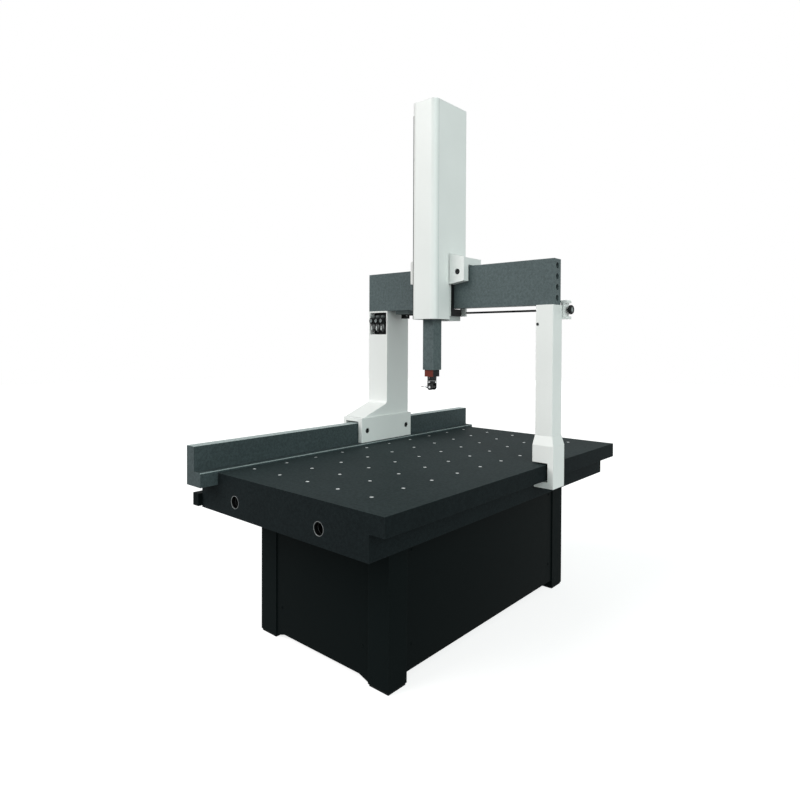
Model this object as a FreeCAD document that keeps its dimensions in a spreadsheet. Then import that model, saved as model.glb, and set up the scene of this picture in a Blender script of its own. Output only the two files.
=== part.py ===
import FreeCAD, Part
import math
import os
import Sketcher
from FreeCAD import Placement, Rotation, Vector

# Bridge type coordinate measuring machine, in millimetres, +Z up.
# The part's origin is on the floor, below the middle of the machine's bounding box.
# The drawing frame is the work surface: x and y are counted from the front left insert,
# z from the top of the granite table. One shared placement moves it onto the floor.

DRIVING = {
    # Granite table and its insert grid
    "pitch": (200, "insert spacing both ways"),
    "columns": (5, "inserts across"),
    "rows": (10, "inserts along"),
    "table_height": (860, "work surface above the floor"),
    "table_left": (-195, "left side of the lower block"),
    "table_right": (1030, "right side of the slab"),
    "table_front": (-172, "front face of the granite"),
    "table_back": (1948, "back face of the granite"),
    "table_depth": (190, "whole thickness of the granite"),
    "slab_depth": (80, "thickness of the overhanging slab"),
    "slab_overhang": (80, "how far the slab reaches past the block"),
    "slab_left": (-50, "left edge of the work surface"),
    "rabbet_depth": (60, "rail seat below the work surface"),
    "insert_radius": (9, "outside of a threaded insert"),
    "insert_bore": (3.4, "tapping size of the thread"),
    "insert_length": (25, "length of an insert"),
    "sleeve_radius": (32, "outside of a lifting sleeve"),
    "sleeve_bore": (28, "bore of a lifting sleeve"),
    "sleeve_length": (70, "length of a lifting sleeve"),
    "sleeve_span": (584, "distance between the lifting sleeves"),
    "sleeve_drop": (118, "lifting sleeves below the work surface"),
    "lifting_depth": (160, "depth of the lifting bores"),
    # Stand
    "stand_left": (-70, "left side of the posts"),
    "stand_right": (812, "right side of the posts"),
    "stand_front": (94, "front of the posts"),
    "stand_back": (1692, "back of the posts"),
    "post": (120, "width of a square post"),
    "tube_wall": (6, "wall of the square tubes"),
    "support_gap": (50, "height of the pads under the granite"),
    "rail_tube": (80, "height of the stand's cross rails"),
    "rail_tube_width": (60, "width of the stand's cross rails"),
    "low_rail": (120, "lower rails above the floor"),
    "foot_pad": (10, "thickness of the foot pads"),
    "foot_inset": (4, "foot pads inside the post outline"),
    "panel": (3, "thickness of the stand's panels"),
    "panel_inset": (6, "panel faces behind the post faces"),
    "apron_front": (30, "front and back panels above the floor"),
    "apron_side": (52, "side panels above the floor"),
    "apron_slope": (60, "length of the sloping gusset at a post foot"),
    "panel_screw": (6, "radius of a panel screw head"),
    "jack_radius": (30, "radius of the pads under the granite"),
    # Guide rail along the table
    "rail_left": (-182, "outer side of the rail"),
    "rail_web": (64, "thickness of the rail's upright web"),
    "rail_foot": (120, "width of the rail's foot"),
    "rail_top": (130, "top of the rail above the work surface"),
    "rail_ledge": (10, "ledge of the foot above the work surface"),
    "rail_front": (-262, "front end of the rail"),
    "rail_back": (2000, "back end of the rail"),
    "rail_bolt_pitch": (420, "distance between rail bolts"),
    "rail_bolt_count": (5, "number of rail bolts"),
    "rail_bolt": (8, "radius of a rail bolt's shank"),
    "rail_bolt_head": (12, "radius of a rail bolt's head"),
    "head_length": (14, "length of a socket head"),
    "bolt_grip": (40, "how deep a bolt goes into its seat"),
    "y_scale_z": (28, "lower edge of the table's scale tape"),
    "tape": (0.8, "thickness of a scale tape"),
    "tape_width": (12, "width of a scale tape"),
    # Bridge
    "air_gap": (0.3, "gap between a bearing pad and its granite face"),
    "face_gap": (6, "gap between a casting and the granite it rides on"),
    "pad_radius": (26, "radius of an air bearing pad"),
    "pad_seat": (8, "depth of a pad's seat in the casting"),
    "screw": (5, "radius of an adjusting screw"),
    "screw_head": (15, "radius of an adjusting screw's head"),
    "head_room": (2, "room around a screw head"),
    "screw_well": (17, "radius of the well around a screw head"),
    "well_depth": (8, "depth of a screw well"),
    "wall_screw": (7.5, "radius of the screw head in the right column's front"),
    "wall_screw_drop": (100, "that screw below the beam"),
    "saddle_left": (-243, "outer side of the saddle"),
    "saddle_right": (-82, "inner side of the saddle"),
    "saddle_front": (841, "front of the saddle"),
    "saddle_back": (1307, "back of the saddle"),
    "saddle_top": (162, "top of the saddle"),
    "saddle_bottom": (12, "lower edge of the saddle"),
    "saddle_wall": (24, "thickness of the saddle's walls"),
    "saddle_roof": (22, "thickness of the saddle's roof"),
    "pad_inset": (50, "saddle pads from the saddle's ends"),
    "column_left": (-256, "outer side of the left column"),
    "column_right": (-96, "inner side of the left column"),
    "column_front": (1083, "front of the left column"),
    "column_back": (1290, "back of the left column"),
    "flare_top": (237, "where the column's flare starts"),
    "flare_toe": (874, "front of the column's flare"),
    "flare_round": (25, "rounding between flare and column"),
    "column_wall": (12, "wall of the left column"),
    "recess_left": (-246, "left side of the regulator recess"),
    "recess_right": (-105, "right side of the regulator recess"),
    "recess_bottom": (677, "lower side of the regulator recess"),
    "recess_top": (817, "upper side of the regulator recess"),
    "recess_depth": (44, "depth of the regulator recess"),
    "beam_left": (-256, "left end of the beam"),
    "beam_inset": (3, "right end of the beam inside the right column"),
    "beam_front": (1084, "front face of the beam"),
    "beam_back": (1160, "back face of the beam"),
    "beam_bottom": (827, "underside of the beam"),
    "beam_top": (1066, "top of the beam"),
    "bolt_edge": (19, "left beam bolts from the beam's back, behind the regulators"),
    "core_radius": (16, "radius of the bores in the beam's ends"),
    "core_depth": (40, "depth of the bores in the beam's ends"),
    "core_pitch": (56, "distance between the bores in an end"),
    "post_width": (97.5, "width of the right column"),
    "post_depth": (101, "depth of the right column"),
    "post_inset": (13, "right column inside the leg's outline"),
    "leg_width": (118, "width of the right leg"),
    "leg_depth": (124, "depth of the right leg"),
    "leg_reach": (41, "right leg past the table's edge"),
    "leg_front": (1058, "front of the right leg"),
    "leg_bottom": (9, "leg above the work surface"),
    "collar": (98, "top of the leg's straight sides"),
    "collar_top": (149, "top of the leg's chamfer"),
    "leg_wall": (32, "plate that hangs past the table's edge"),
    "jaw_gap": (13, "tip of the jaw to the granite block"),
    "jaw_top": (-89, "upper face of the jaw"),
    "jaw_bottom": (-121, "lower face of the jaw"),
    "corner": (5, "rounding of the castings' edges"),
    # Drive along the table
    "belt": (2, "thickness of a toothed belt"),
    "belt_width": (10, "width of a toothed belt"),
    "belt_gap": (0.3, "gap between a belt and its pulley"),
    "pulley": (20, "radius of the pulleys of the table drive"),
    "pulley_width": (16, "width of a pulley"),
    "axle": (5, "radius of the pulley axles"),
    "running": (0.05, "clearance of a running fit"),
    "drive_x": (-221, "middle of the table drive's belt"),
    "drive_rise": (38, "pulley centres of the table drive above the granite's underside"),
    "drive_front": (-160, "front pulley of the table drive"),
    "drive_rear": (1971, "rear pulley of the table drive"),
    "bracket_left": (-242, "outer side of the drive brackets"),
    "bracket_wall": (6, "wall of the drive brackets"),
    "bracket_half": (31, "half the height of the drive brackets"),
    "motor_radius": (22, "radius of the drive motors"),
    "motor_length": (110, "length of the table drive's motor"),
    "shaft_grip": (30, "how far a pulley's shaft reaches into its motor"),
    "arm_front": (1035, "front of the drive arm"),
    "arm_back": (1115, "back of the drive arm"),
    # Drive along the beam
    "beam_drive_y": (1203.5, "pulley centres of the beam drive"),
    "beam_drive_z": (804, "middle of the beam drive's belt"),
    "beam_drive_left": (-46, "left pulley of the beam drive"),
    "beam_drive_inset": (13, "right pulley of the beam drive from the beam's end"),
    "small_pulley": (13, "radius of the pulleys of the beam drive"),
    "housing_half": (19, "half the width and depth of the drive housing"),
    "housing_drop": (47, "height of the drive housing under the beam"),
    "housing_wall": (3, "wall of the drive housing"),
    "flange_right": (45, "right end of the plate under the beam's left end"),
    "flange_front": (1130, "front of that plate"),
    "flange_drop": (22, "thickness of that plate"),
    "tension_depth": (25, "tension bracket behind the pulley centres"),
    "tension_reach": (46, "tension bracket past the beam's end"),
    "tension_web": (10, "thickness of the tension bracket's web"),
    "tension_plate": (14, "thickness of the tension bracket's plates"),
    "tension_half": (49, "half the height of the tension bracket"),
    "knob_radius": (24.5, "radius of the tension knob"),
    "knob_length": (18, "length of the tension knob"),
    # Air regulators
    "regulator_pitch": (42, "distance between regulators"),
    "regulator_lead": (17, "how far a regulator's body stands out of its recess"),
    "regulator_width": (38, "width of a regulator's body"),
    "regulator_bottom": (745, "lower side of a regulator's body"),
    "regulator_top": (785, "upper side of a regulator's body"),
    "dial_radius": (14, "radius of a regulator's gauge"),
    "bowl_radius": (17, "radius of a regulator's bowl"),
    "bowl_length": (44, "length of a regulator's bowl"),
    "regulator_knob": (14, "radius of a regulator's knob"),
    # Carriage
    "axis_x": (345.5, "middle of the vertical ram, across"),
    "axis_y": (983, "middle of the vertical ram, along"),
    "plate_front": (1049, "front face of the carriage plate"),
    "wing_front": (1033, "front face of the carriage wings"),
    "wing_left": (139, "tip of the left wing"),
    "wing_right": (530, "tip of the right wing"),
    "root_drop": (102, "lower side of a wing at its root below the beam's top"),
    "root_rise": (75, "upper side of a wing at its root above the beam's top"),
    "tip_drop": (87, "lower side of a wing at its tip below the beam's top"),
    "tip_rise": (46, "upper side of a wing at its tip above the beam's top"),
    "plate_bottom": (782, "lower edge of the carriage plate"),
    "arm_right": (1206, "back of the carriage's top arms and back plate"),
    "back_plate_bottom": (850, "lower edge of the back plate"),
    "back_plate_half": (93, "half the width of the back plate"),
    "duct": (7, "thickness of the cable duct on the carriage's right side"),
    "duct_depth": (20, "width of the cable duct"),
    "clamp_width": (38, "width of the beam belt's clamp"),
    "bottom_plate": (27, "thickness of the plate under the beam"),
    "wing_pad": (46, "wing pads from the wing tips"),
    "wing_pad_drop": (34, "wing pads below the beam's top"),
    # Cover of the vertical axis
    "cover_width": (176, "width of the cover"),
    "cover_offset": (-10.5, "middle of the cover from the ram's middle"),
    "cover_front": (901, "front of the cover"),
    "cover_low_back": (1046, "back of the cover's lower part"),
    "cover_back": (1204, "back of the cover's upper part"),
    "cover_bottom": (761, "lower edge of the cover"),
    "cover_gap": (1, "cover's deeper part above the carriage"),
    "cover_top": (2000, "top of the cover"),
    "cover_skin": (3, "thickness of the cover"),
    "cover_round": (38, "rounding of the cover's upright edges"),
    # Ram and its guide
    "ram": (77, "side of the square ram"),
    "ram_bottom": (470, "lower end of the ram"),
    "ram_length": (1200, "length of the ram"),
    "ram_hole": (4, "radius of the locking hole in the ram's front"),
    "ram_hole_x": (30, "locking hole from the ram's middle"),
    "ram_hole_z": (731.8, "height of the locking hole"),
    "guide_half": (60, "half the width of a guide block"),
    "guide_gap": (10, "gap between a guide block and the ram"),
    "guide_pad": (16, "radius of a ram guide pad"),
    "low_guide_bottom": (800, "lower guide block"),
    "low_guide_top": (930, "lower guide block"),
    "high_guide": (111, "height of the upper guide block"),
    # Belt and counterweight of the vertical axis
    "lift_pulley": (30, "radius of the vertical axis pulleys"),
    "lift_y": (1062, "middle of the vertical axis pulleys"),
    "lift_low_rise": (68, "lower pulley of the vertical axis above the carriage's top"),
    "lift_high": (1952, "upper pulley of the vertical axis"),
    "upright": (8, "thickness of the uprights"),
    "upright_depth": (44, "depth of the uprights"),
    "upright_offset": (56, "uprights from the ram's middle"),
    "clamp_drop": (100, "ram clamp's lower side below the ram's top"),
    "weight_front": (1100, "front of the counterweight"),
    "weight_back": (1188, "back of the counterweight"),
    "weight_rise": (328, "underside of the counterweight above the carriage's top"),
    "weight_height": (215, "height of the counterweight"),
    "weight_half": (60, "half the width of the counterweight"),
    "guide_rod": (6, "radius of the counterweight's guide rods"),
    "guide_rod_x": (44, "guide rods from the ram's middle"),
    # Probe
    "adapter": (66, "side of the probe adapter"),
    "adapter_width": (56, "width of the probe adapter"),
    "adapter_height": (39, "height of the probe adapter"),
    "adapter_front": (8, "thickness of the adapter's front plate"),
    "head_radius": (27, "radius of the probe head"),
    "head_base": (14, "height of the head's fixed base"),
    "swivel_top": (416.6, "upper face of the head's swivel"),
    "swivel_bottom": (391, "underside of the head's swivel"),
    "cheek_inner": (15, "inside of a cheek from the head's middle"),
    "cheek_outer": (23, "outside of a cheek from the head's middle"),
    "cheek_half": (17, "half the width of a cheek"),
    "tilt_z": (370, "tilt axis of the head"),
    "knuckle": (16, "radius of the knuckle"),
    "probe_radius": (9, "radius of the touch probe"),
    "probe_lip": (1.5, "collar of the touch probe past its body"),
    "probe_end": (45, "front of the touch probe from the tilt axis"),
    "seat_radius": (3, "radius of the pins that the stylus tips about"),
    "seat_half": (3.5, "half the length of those pins"),
    "seat_gap": (0.6, "room for the pins to tip in front of the touch probe"),
    "stylus_radius": (1.2, "radius of the stylus stem"),
    "stylus_length": (26, "length of the stylus stem"),
    "ball_radius": (2.5, "radius of the stylus ball"),
}


class Size:
    """A number together with the sheet formula that gives it."""

    def __init__(self, value, formula):
        self.value = value
        self.formula = formula

    def __add__(self, other):
        return Size(self.value + number(other), f"({self.formula} + {formula(other)})")

    def __radd__(self, other):
        return Size(number(other) + self.value, f"({formula(other)} + {self.formula})")

    def __sub__(self, other):
        return Size(self.value - number(other), f"({self.formula} - {formula(other)})")

    def __rsub__(self, other):
        return Size(number(other) - self.value, f"({formula(other)} - {self.formula})")

    def __mul__(self, other):
        return Size(self.value * number(other), f"({self.formula} * {formula(other)})")

    __rmul__ = __mul__

    def __truediv__(self, other):
        return Size(self.value / number(other), f"({self.formula} / {formula(other)})")

    def __neg__(self):
        return Size(-self.value, f"(0 - {self.formula})")


def number(size):
    return size.value if isinstance(size, Size) else float(size)


def formula(size):
    return size.formula if isinstance(size, Size) else repr(float(size))


class Sheet:
    """The driving dimensions, kept in the document and read by name."""

    def __init__(self, document):
        self.sheet = document.addObject("Spreadsheet::Sheet", "dims")
        for row, (name, (value, meaning)) in enumerate(DRIVING.items(), start=1):
            self.sheet.set(f"A{row}", meaning)
            self.sheet.set(f"B{row}", str(value))
            self.sheet.setAlias(f"B{row}", name)

    def __getattr__(self, name):
        return Size(float(DRIVING[name][0]), f"dims.{name}")


doc = FreeCAD.newDocument("measuring_machine")
d = Sheet(doc)
doc.recompute()
NODES = []

# Right side of the bridge, which follows the table's edge
leg_right = d.table_right + d.leg_reach
leg_left = leg_right - d.leg_width
leg_back = d.leg_front + d.leg_depth
post_right = leg_right - d.post_inset
post_left = post_right - d.post_width
post_front = d.leg_front + d.post_inset
post_back = post_front + d.post_depth
beam_right = post_right - d.beam_inset
beam_drive_right = beam_right - d.beam_drive_inset
tension_right = beam_right + d.tension_reach

# The floor and the middle of the bounding box, seen from the drawing frame.
SHIFT = (
    -(d.beam_left + tension_right) / 2,
    -(d.rail_front + d.rail_back) / 2,
    d.table_height,
)
ALONG = {
    "x": Rotation(Vector(0, 1, 0), 90),
    "y": Rotation(Vector(1, 0, 0), -90),
    "z": Rotation(),
}
PLANES = {"XY": "XY_Plane", "XZ": "XZ_Plane", "YZ": "YZ_Plane"}


# General helpers

def bind(thing, name, size):
    thing.setExpression(name, formula(size))


def place(thing, x=0.0, y=0.0, z=0.0):
    for axis, start, shift in zip("xyz", (x, y, z), SHIFT):
        bind(thing, f"Placement.Base.{axis}", start + shift)


def keep(thing, label):
    thing.Label = label
    NODES.append(thing)
    return thing


def box(x, y, z):
    """Block between two bounds along each axis."""
    block = doc.addObject("Part::Box", "block")
    for name, (low, high) in zip(("Length", "Width", "Height"), (x, y, z)):
        bind(block, name, high - low)
    place(block, x[0], y[0], z[0])
    return block


def rod(axis, centre, radius, low, high):
    """Round bar along an axis; the centre gives the other two coordinates in order."""
    bar = doc.addObject("Part::Cylinder", "bar")
    bind(bar, "Radius", radius)
    bind(bar, "Height", high - low)
    bar.Placement = Placement(Vector(), ALONG[axis])
    first, second = centre
    starts = {"x": (low, first, second), "y": (first, low, second), "z": (first, second, low)}
    place(bar, *starts[axis])
    return bar


def fuse(*pieces):
    joined = doc.addObject("Part::MultiFuse", "joined")
    joined.Shapes = list(pieces)
    joined.Refine = True
    return joined


def cut(base, *tools):
    """Base less each tool in turn."""
    for tool in tools:
        left = doc.addObject("Part::Cut", "cut")
        left.Base = base
        left.Tool = tool
        base = left
    return base


def group(*pieces):
    """Separate solids that share one node."""
    together = doc.addObject("Part::Compound", "group")
    together.Links = list(pieces)
    return together


# Sketched bodies

def new_body(label):
    body = doc.addObject("PartDesign::Body", label)
    body.AllowCompound = True
    place(body)
    return body


def sketch_on(body, plane, at):
    """Sketch on one of the body's own planes, moved along the plane's axis."""
    role = PLANES[plane]
    origin_plane = next(f for f in body.Origin.OriginFeatures if f.Role == role)
    sketch = body.newObject("Sketcher::SketchObject", "outline")
    sketch.AttachmentSupport = (origin_plane, [""])
    sketch.MapMode = "FlatFace"
    bind(sketch, "AttachmentOffset.Base.z", -at if plane == "XZ" else at)
    return sketch


def hold(sketch, curve, point, across, up):
    """Fix one point of a curve by its distances from the sketch's origin."""
    for kind, axis, size in (("DistanceX", -2, across), ("DistanceY", -1, up)):
        if abs(number(size)) < 1e-9:
            sketch.addConstraint(Sketcher.Constraint("PointOnObject", curve, point, axis))
            continue
        index = sketch.addConstraint(
            Sketcher.Constraint(kind, -1, 1, curve, point, number(size)))
        sketch.setExpression(f"Constraints[{index}]", formula(size))


def polygon(sketch, points):
    first = sketch.GeometryCount
    corners = [Vector(number(u), number(v), 0) for u, v in points]
    count = len(points)
    for index in range(count):
        sketch.addGeometry(Part.LineSegment(corners[index], corners[(index + 1) % count]))
    for index in range(count):
        follower = first + (index + 1) % count
        sketch.addConstraint(Sketcher.Constraint("Coincident", first + index, 2, follower, 1))
    for index, (u, v) in enumerate(points):
        hold(sketch, first + index, 1, u, v)


def rectangle(sketch, across, up):
    (left, right), (low, high) = across, up
    polygon(sketch, [(left, low), (right, low), (right, high), (left, high)])


def circle(sketch, u, v, radius):
    curve = sketch.addGeometry(
        Part.Circle(Vector(number(u), number(v), 0), Vector(0, 0, 1), number(radius)))
    hold(sketch, curve, 3, u, v)
    index = sketch.addConstraint(Sketcher.Constraint("Radius", curve, number(radius)))
    sketch.setExpression(f"Constraints[{index}]", formula(radius))


def pad(body, plane, at, end, draw, *arguments):
    """Material between two positions along the plane's axis."""
    sketch = sketch_on(body, plane, at)
    draw(sketch, *arguments)
    feature = body.newObject("PartDesign::Pad", "pad")
    feature.Profile = sketch
    bind(feature, "Length", end - at)
    feature.Reversed = plane == "XZ"
    return feature


def pocket(body, plane, at, end, draw, *arguments):
    """Cut between two positions along the plane's axis; it must remove material."""
    sketch = sketch_on(body, plane, at)
    draw(sketch, *arguments)
    doc.recompute()
    before = body.Shape.Volume
    feature = body.newObject("PartDesign::Pocket", "pocket")
    feature.Profile = sketch
    bind(feature, "Length", end - at)
    feature.Reversed = plane != "XZ"
    doc.recompute()
    if not body.Shape.Volume < before - 1e-3:
        raise RuntimeError(f"{body.Label}: a pocket removes nothing")
    return feature


def edges_where(shape, wanted):
    return [f"Edge{index}" for index, edge in enumerate(shape.Edges, start=1) if wanted(edge)]


def dress(body, kind, size_name, size, wanted):
    """Fillet or chamfer the edges of the newest feature that pass a test."""
    doc.recompute()
    tip = body.Tip
    feature = body.newObject(kind, "edges")
    feature.Base = (tip, edges_where(tip.Shape, wanted))
    bind(feature, size_name, size)
    return feature


def fillet(body, radius, wanted):
    return dress(body, "PartDesign::Fillet", "Radius", radius, wanted)


def upright(edge):
    first, last = edge.Vertexes[0].Point, edge.Vertexes[-1].Point
    return abs(first.x - last.x) < 1e-6 and abs(first.y - last.y) < 1e-6


def corner_at(edge, x=None, y=None, z=None):
    """True when the edge's middle has the given coordinates, in the drawing frame."""
    middle = edge.CenterOfMass
    pairs = ((middle.x, x), (middle.y, y), (middle.z, z))
    return all(wanted is None or abs(value - number(wanted)) < 0.5 for value, wanted in pairs)


def pattern(body, feature, *steps):
    """Repeat a feature along sketch axes; each step is an axis, a length and a count."""
    if len(steps) == 1:
        spread = body.newObject("PartDesign::LinearPattern", "row")
        spread.Originals = [feature]
        set_row(spread, feature.Profile[0], *steps[0])
        body.Tip = spread
        return spread
    spread = body.newObject("PartDesign::MultiTransform", "grid")
    spread.Originals = [feature]
    rows = []
    for step in steps:
        row = body.newObject("PartDesign::LinearPattern", "row")
        set_row(row, feature.Profile[0], *step)
        rows.append(row)
    spread.Transformations = rows
    body.Tip = spread
    return spread


def set_row(row, sketch, axis, length, count):
    row.Direction = (sketch, [axis])
    bind(row, "Length", length)
    bind(row, "Occurrences", count)


# Derived places that several sub-parts share

table_block_right = d.table_right - d.slab_overhang
jaw_left = table_block_right + d.jaw_gap
drive_z = d.drive_rise - d.table_depth
bracket_bottom = drive_z - d.bracket_half
bracket_top = drive_z + d.bracket_half
floor = -d.table_height
sleeve_mid = (d.table_left + table_block_right) / 2
sleeve_places = (sleeve_mid - d.sleeve_span / 2, sleeve_mid + d.sleeve_span / 2)
web_right = d.rail_left + d.rail_web
foot_right = d.rail_left + d.rail_foot
bolt_x = (web_right + foot_right) / 2
bolt_first = (d.rail_front + d.rail_back - d.rail_bolt_pitch * (d.rail_bolt_count - 1)) / 2
stand_top = -d.table_depth - d.support_gap
post_span_x = (d.stand_left + d.post, d.stand_right - d.post)
post_span_y = (d.stand_front + d.post, d.stand_back - d.post)
saddle_pads_y = (d.saddle_front + d.pad_inset, d.saddle_back - d.pad_inset)
saddle_pad_z = (d.saddle_bottom + d.saddle_top) / 2 - d.screw
rail_mid = d.rail_left + d.rail_web / 2
beam_mid_y = (d.beam_front + d.beam_back) / 2
beam_bolts = [
    (d.column_left + d.column_wall * 4, d.beam_back - d.bolt_edge),
    (d.column_right - d.column_wall * 4, d.beam_back - d.bolt_edge),
    (post_left + d.post / 5, beam_mid_y),
    (post_left + d.post / 2, beam_mid_y),
]
root_bottom = d.beam_top - d.root_drop
root_top = d.beam_top + d.root_rise
tip_bottom = d.beam_top - d.tip_drop
tip_top = d.beam_top + d.tip_rise
wing_pad_z = d.beam_top - d.wing_pad_drop
cover_step = tip_top + d.cover_gap
high_guide_top = root_top
high_guide_bottom = high_guide_top - d.high_guide
lift_low = tip_top + d.lift_low_rise
weight_bottom = tip_top + d.weight_rise
wing_pads_x = (d.wing_left + d.wing_pad, d.wing_right - d.wing_pad)
cover_middle = d.axis_x + d.cover_offset
cover_left = cover_middle - d.cover_width / 2
cover_right = cover_middle + d.cover_width / 2
ram_half = d.ram / 2
ram_top = d.ram_bottom + d.ram_length
guide_inner = ram_half + d.guide_gap
head_z = d.ram_bottom - d.adapter_height
probe_front = d.axis_x - d.probe_end
tower_top = d.cover_top - d.cover_skin - d.corner
weight_mid_y = (d.weight_front + d.weight_back) / 2
back_pads_z = (d.back_plate_bottom + d.pad_radius * 1.5, d.beam_top - d.pad_radius * 1.5)
x_scale_z = (back_pads_z[0] + back_pads_z[1] - d.tape_width) / 2
regulator_mid = (d.recess_left + d.recess_right) / 2
regulators_x = [regulator_mid + d.regulator_pitch * step for step in (-1, 0, 1)]
regulator_y = d.column_front


# Base

def corner_blocks(inset, low, high):
    """Four blocks, one in each corner of the stand."""
    blocks = []
    for left in (d.stand_left, d.stand_right - d.post):
        for front in (d.stand_front, d.stand_back - d.post):
            x = (left + inset, left + d.post - inset)
            y = (front + inset, front + d.post - inset)
            blocks.append(box(x, y, (low, high)))
    return blocks


def cross_rails(inset, low, high):
    """Rails that join the posts, just inside the panels."""
    overlap = d.tube_wall * 2
    skin = d.panel_inset + d.panel
    x = (post_span_x[0] - overlap, post_span_x[1] + overlap)
    y = (post_span_y[0] - overlap, post_span_y[1] + overlap)
    rails = []
    for near in (d.stand_front + skin, d.stand_back - skin - d.rail_tube_width):
        across = (near + inset, near + d.rail_tube_width - inset)
        rails.append(box(x, across, (low + inset, high - inset)))
    for near in (d.stand_left + skin, d.stand_right - skin - d.rail_tube_width):
        across = (near + inset, near + d.rail_tube_width - inset)
        rails.append(box(across, y, (low + inset, high - inset)))
    return rails


def make_stand_frame():
    foot = floor + d.foot_pad
    low = floor + d.low_rail
    solid = corner_blocks(0.0, foot, stand_top)
    solid += cross_rails(0.0, stand_top - d.rail_tube, stand_top)
    solid += cross_rails(0.0, low, low + d.rail_tube)
    hollow = corner_blocks(d.tube_wall, foot, stand_top - d.tube_wall)
    hollow += cross_rails(d.tube_wall, stand_top - d.rail_tube, stand_top)
    hollow += cross_rails(d.tube_wall, low, low + d.rail_tube)
    keep(cut(fuse(*solid), fuse(*hollow)), "stand_frame")


def make_isolation_pads():
    """Square pads under the posts and round ones between the stand and the granite."""
    pads = corner_blocks(d.foot_inset, floor, floor + d.foot_pad)
    mid = d.post / 2
    for x in (d.stand_left + mid, d.stand_right - mid):
        for y in (d.stand_front + mid, d.stand_back - mid):
            pads.append(rod("z", (x, y), d.jack_radius, stand_top, -d.table_depth))
    keep(group(*pads), "isolation_pads")


def apron(sketch):
    """Front or back panel, whose lower edge drops to the floor beside each post."""
    left, right = post_span_x
    foot = floor + d.foot_pad
    low = floor + d.apron_front
    high = stand_top - d.panel
    polygon(sketch, [
        (left, foot), (left + d.apron_slope, low), (right - d.apron_slope, low),
        (right, foot), (right, high), (left, high)])


def make_panels():
    """Front, back and side sheets between the posts, in one node."""
    body = new_body("stand_panels")
    front = d.stand_front + d.panel_inset
    back = d.stand_back - d.panel_inset
    left = d.stand_left + d.panel_inset
    right = d.stand_right - d.panel_inset
    pad(body, "XZ", front, front + d.panel, apron)
    pad(body, "XZ", back - d.panel, back, apron)
    upward = (floor + d.apron_side, stand_top - d.panel)
    pad(body, "YZ", left, left + d.panel, rectangle, post_span_y, upward)
    pad(body, "YZ", right - d.panel, right, rectangle, post_span_y, upward)
    keep(body, "stand_panels")


def panel_screws():
    """Button heads near the upper and lower corners of every panel."""
    margin = d.rail_tube / 2
    heights = (stand_top - margin, floor + d.low_rail + margin)
    screws = []
    for z in heights:
        for x in (post_span_x[0] + margin, post_span_x[1] - margin):
            front = d.stand_front + d.panel_inset
            back = d.stand_back - d.panel_inset
            screws.append(rod("y", (x, z), d.panel_screw, front - d.panel, front))
            screws.append(rod("y", (x, z), d.panel_screw, back, back + d.panel))
        for y in (post_span_y[0] + margin, post_span_y[1] - margin):
            left = d.stand_left + d.panel_inset
            right = d.stand_right - d.panel_inset
            screws.append(rod("x", (y, z), d.panel_screw, left - d.panel, left))
            screws.append(rod("x", (y, z), d.panel_screw, right, right + d.panel))
    return screws


def make_granite_table():
    body = new_body("granite_table")
    pad(body, "XZ", d.table_front, d.table_back, polygon, [
        (d.table_left, -d.table_depth), (table_block_right, -d.table_depth),
        (table_block_right, -d.slab_depth), (d.table_right, -d.slab_depth),
        (d.table_right, 0.0), (d.slab_left, 0.0),
        (d.slab_left, -d.rabbet_depth), (d.table_left, -d.rabbet_depth)])
    for x in sleeve_places:
        front_end = d.table_front + d.lifting_depth
        back_end = d.table_back - d.lifting_depth
        pocket(body, "XZ", d.table_front, front_end, circle, x, -d.sleeve_drop, d.sleeve_radius)
        pocket(body, "XZ", back_end, d.table_back, circle, x, -d.sleeve_drop, d.sleeve_radius)
    seat = -d.rabbet_depth
    bolt = pocket(body, "XY", seat - d.bolt_grip, seat, circle, bolt_x, bolt_first, d.rail_bolt)
    pattern(body, bolt, ("V_Axis", d.rail_bolt_pitch * (d.rail_bolt_count - 1), d.rail_bolt_count))
    hole = pocket(body, "XY", -d.insert_length, Size(0.0, "0"), circle, 0.0, 0.0, d.insert_radius)
    pattern(body, hole,
            ("H_Axis", d.pitch * (d.columns - 1), d.columns),
            ("V_Axis", d.pitch * (d.rows - 1), d.rows))
    keep(body, "granite_table")


def insert_ring(sketch):
    circle(sketch, 0.0, 0.0, d.insert_radius)
    circle(sketch, 0.0, 0.0, d.insert_bore)


def make_table_inserts():
    """Threaded inserts of the work surface and the sleeves of the lifting bores."""
    body = new_body("table_inserts")
    ring = pad(body, "XY", -d.insert_length, Size(0.0, "0"), insert_ring)
    pattern(body, ring,
            ("H_Axis", d.pitch * (d.columns - 1), d.columns),
            ("V_Axis", d.pitch * (d.rows - 1), d.rows))
    for x in sleeve_places:
        pad(body, "XZ", d.table_front, d.table_front + d.sleeve_length, sleeve_ring, x)
        pad(body, "XZ", d.table_back - d.sleeve_length, d.table_back, sleeve_ring, x)
    keep(body, "table_inserts")


def sleeve_ring(sketch, x):
    circle(sketch, x, -d.sleeve_drop, d.sleeve_radius)
    circle(sketch, x, -d.sleeve_drop, d.sleeve_bore)


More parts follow.
